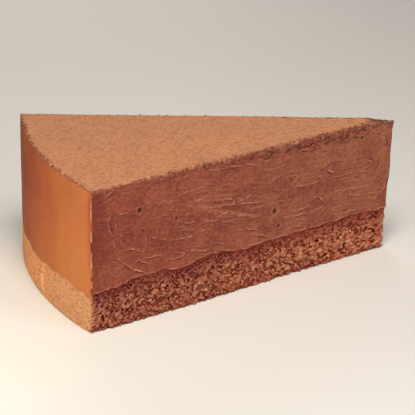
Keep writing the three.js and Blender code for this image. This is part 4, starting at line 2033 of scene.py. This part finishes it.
@dataclass(frozen=True)
class CocoaFinish(Finish):
    """Fine dry cocoa, with dark moist crumbs and painted shade along the broken edge, painted shade in the
    pits between grains and a painted shadow line at the rim's top edge.
    """

    pale: tuple = (0.480, 0.2205, 0.1115)
    tan: tuple = (0.410, 0.174, 0.0825)
    # Painted shade colour for the pits, also used for dark granules.
    pit: tuple = (0.27, 0.108, 0.051)
    smear: tuple = (0.105, 0.040, 0.027)
    moist: tuple = (0.290, 0.084, 0.049)
    darkest: tuple = (0.075, 0.021, 0.0145)
    speck: tuple = (0.44, 0.190, 0.115)
    specular: float = 0.15
    drift_size: float = 7.0
    clump_size: float = 1.0
    grain_size: float = 0.5

    def material(self) -> bpy.types.Material:
        """Builds the material.

        Returns:
            The material.
        """
        kit, material = self.start("cocoa_powder")
        place = kit.millimetres()
        drift = self.effects.drift_of(kit, place, self.drift_size)
        clump = self.effects.drift_of(kit, place, self.clump_size)
        height = self.effects.grain_of(kit, place, self.grain_size).outputs["Height"]
        granule = kit.read("tone")
        fleck = kit.span(height, -0.12, 0.14)
        tone = kit.total((drift, 0.3), (fleck, 0.35), (granule, 0.35))
        powder = kit.mix(tone, self.tan, self.pale)
        dark = kit.times(kit.span(granule, 0.26, 0.16), 0.6)
        # Painted shade in the pits between the granules.
        dark = kit.math("MAXIMUM", dark, kit.times(kit.read("pit"), 0.45))
        powder = kit.mix(dark, powder, self.pit)
        powder = kit.mix(kit.read("bare"), powder, self.smear)
        crumbs = kit.mix(kit.times(clump, 0.75), self.darkest, self.moist)
        crumbs = kit.mix(kit.times(kit.span(height, 0.08, 0.2), 0.4), crumbs, self.speck)
        # Dark moist crumbs along the torn edge, partly painted shade, and the painted shadow line at the
        # rim.
        colour = kit.mix(kit.read("broken"), powder, crumbs)
        self.add_shader(kit, colour, kit.total((drift, 0.08), base=0.9), kit.times(height, 0.14))
        return material


@dataclass(frozen=True)
class Lamp:
    """One soft square light that faces a place of the slice."""

    name: str
    place: tuple
    aim: tuple
    size: float
    power: float
    tint: tuple
    spread_deg: float = 180.0

    def build(self) -> None:
        """Makes the light and puts it in the scene."""
        data = bpy.data.lights.new(self.name, "AREA")
        data.size = self.size * MM
        data.energy = self.power
        data.color = self.tint
        data.spread = math.radians(self.spread_deg)
        lamp = bpy.data.objects.new(self.name, data)
        lamp.location = Vector(self.place) * MM
        lamp.rotation_euler = (lamp.location - Vector(self.aim) * MM).to_track_quat("Z", "Y").to_euler()
        lamp.visible_camera = False
        bpy.context.scene.collection.objects.link(lamp)


@dataclass(frozen=True)
class Studio:
    """A plain pale floor, an even surround and four soft lights."""

    lamps: tuple = (
        Lamp("key_light", (-110.0, -270.0, 490.0), (0.0, 0.0, 30.0), 240.0, 3.4, (1.0, 0.95, 0.88)),
        Lamp("fill_light", (330.0, -450.0, 190.0), (20.0, -10.0, 20.0), 320.0, 1.75, (1.0, 0.97, 0.97)),
        Lamp(
            "warm_bounce", (-190.0, -110.0, 34.0), (-54.0, -14.0, 26.0), 44.0, 0.043, (1.0, 0.86, 0.56), 70.0
        ),
        Lamp("back_light", (60.0, 520.0, 260.0), (0.0, 10.0, 20.0), 340.0, 0.8, (1.0, 0.96, 0.92)),
    )
    surround: tuple = (1.0, 0.97, 0.95)
    surround_strength: float = 0.10
    floor_size: float = 4000.0
    floor_tone: tuple = (0.66, 0.64, 0.60)
    floor_roughness: float = 0.7

    def floor(self) -> None:
        """Makes the floor."""
        reach = self.floor_size / 2 * MM
        mesh = bpy.data.meshes.new("floor")
        corners = [(-reach, -reach, 0.0), (reach, -reach, 0.0), (reach, reach, 0.0), (-reach, reach, 0.0)]
        mesh.from_pydata(corners, [], [(0, 1, 2, 3)])
        floor = bpy.data.objects.new("floor", mesh)
        bpy.context.scene.collection.objects.link(floor)
        material = bpy.data.materials.new("pale_floor")
        material.use_nodes = True
        shader = material.node_tree.nodes["Principled BSDF"]
        shader.inputs["Base Color"].default_value = (*self.floor_tone, 1.0)
        shader.inputs["Roughness"].default_value = self.floor_roughness
        mesh.materials.append(material)

    def build(self) -> None:
        """Makes the floor, the lights and the surround."""
        self.floor()
        for lamp in self.lamps:
            lamp.build()
        world = bpy.data.worlds.new("surround")
        world.use_nodes = True
        background = world.node_tree.nodes["Background"]
        background.inputs["Color"].default_value = (*self.surround, 1.0)
        background.inputs["Strength"].default_value = self.surround_strength
        bpy.context.scene.world = world
        bpy.context.scene.view_settings.view_transform = "Standard"


def place_piece(
    piece: bpy.types.Object, material: bpy.types.Material, node: str | None = None
) -> None:
    """Dresses a piece and says which solid it stands for.

    Args:
        piece: The piece.
        material: The finish.
        node: The solid's name, if the piece stands for one.
    """
    piece.data.materials.append(material)
    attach(piece, BODY)
    if node:
        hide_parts(node)
    LOG.info("%s has %d faces and stands for %s", piece.name, len(piece.data.polygons), node or "no solid")


def main() -> None:
    """Builds the camera, the three layers, the crumbs on their edge and the studio, in that order."""
    logging.basicConfig(level=logging.INFO, format="%(name)s: %(message)s")
    camera = PhotoCamera()
    camera.build()
    wedge = Wedge.from_frame()
    lines = LayerLines(wedge)
    effects = SharedEffects()
    sponge = SpongeBase(wedge, lines).build()
    place_piece(sponge, SpongeFinish(effects).material(), "sponge_base")
    mousse = MousseLayer(wedge, lines, KnifeMarks(wedge, camera)).build()
    place_piece(mousse, MousseFinish(effects).material(), "mousse_layer")
    powder = CocoaFinish(effects).material()
    place_piece(CocoaDusting(wedge, lines).build(), powder, "cocoa_dusting")
    place_piece(EdgeCrumbs(wedge, lines).build(), powder)
    Studio().build()


if __name__ == "__main__":
    main()
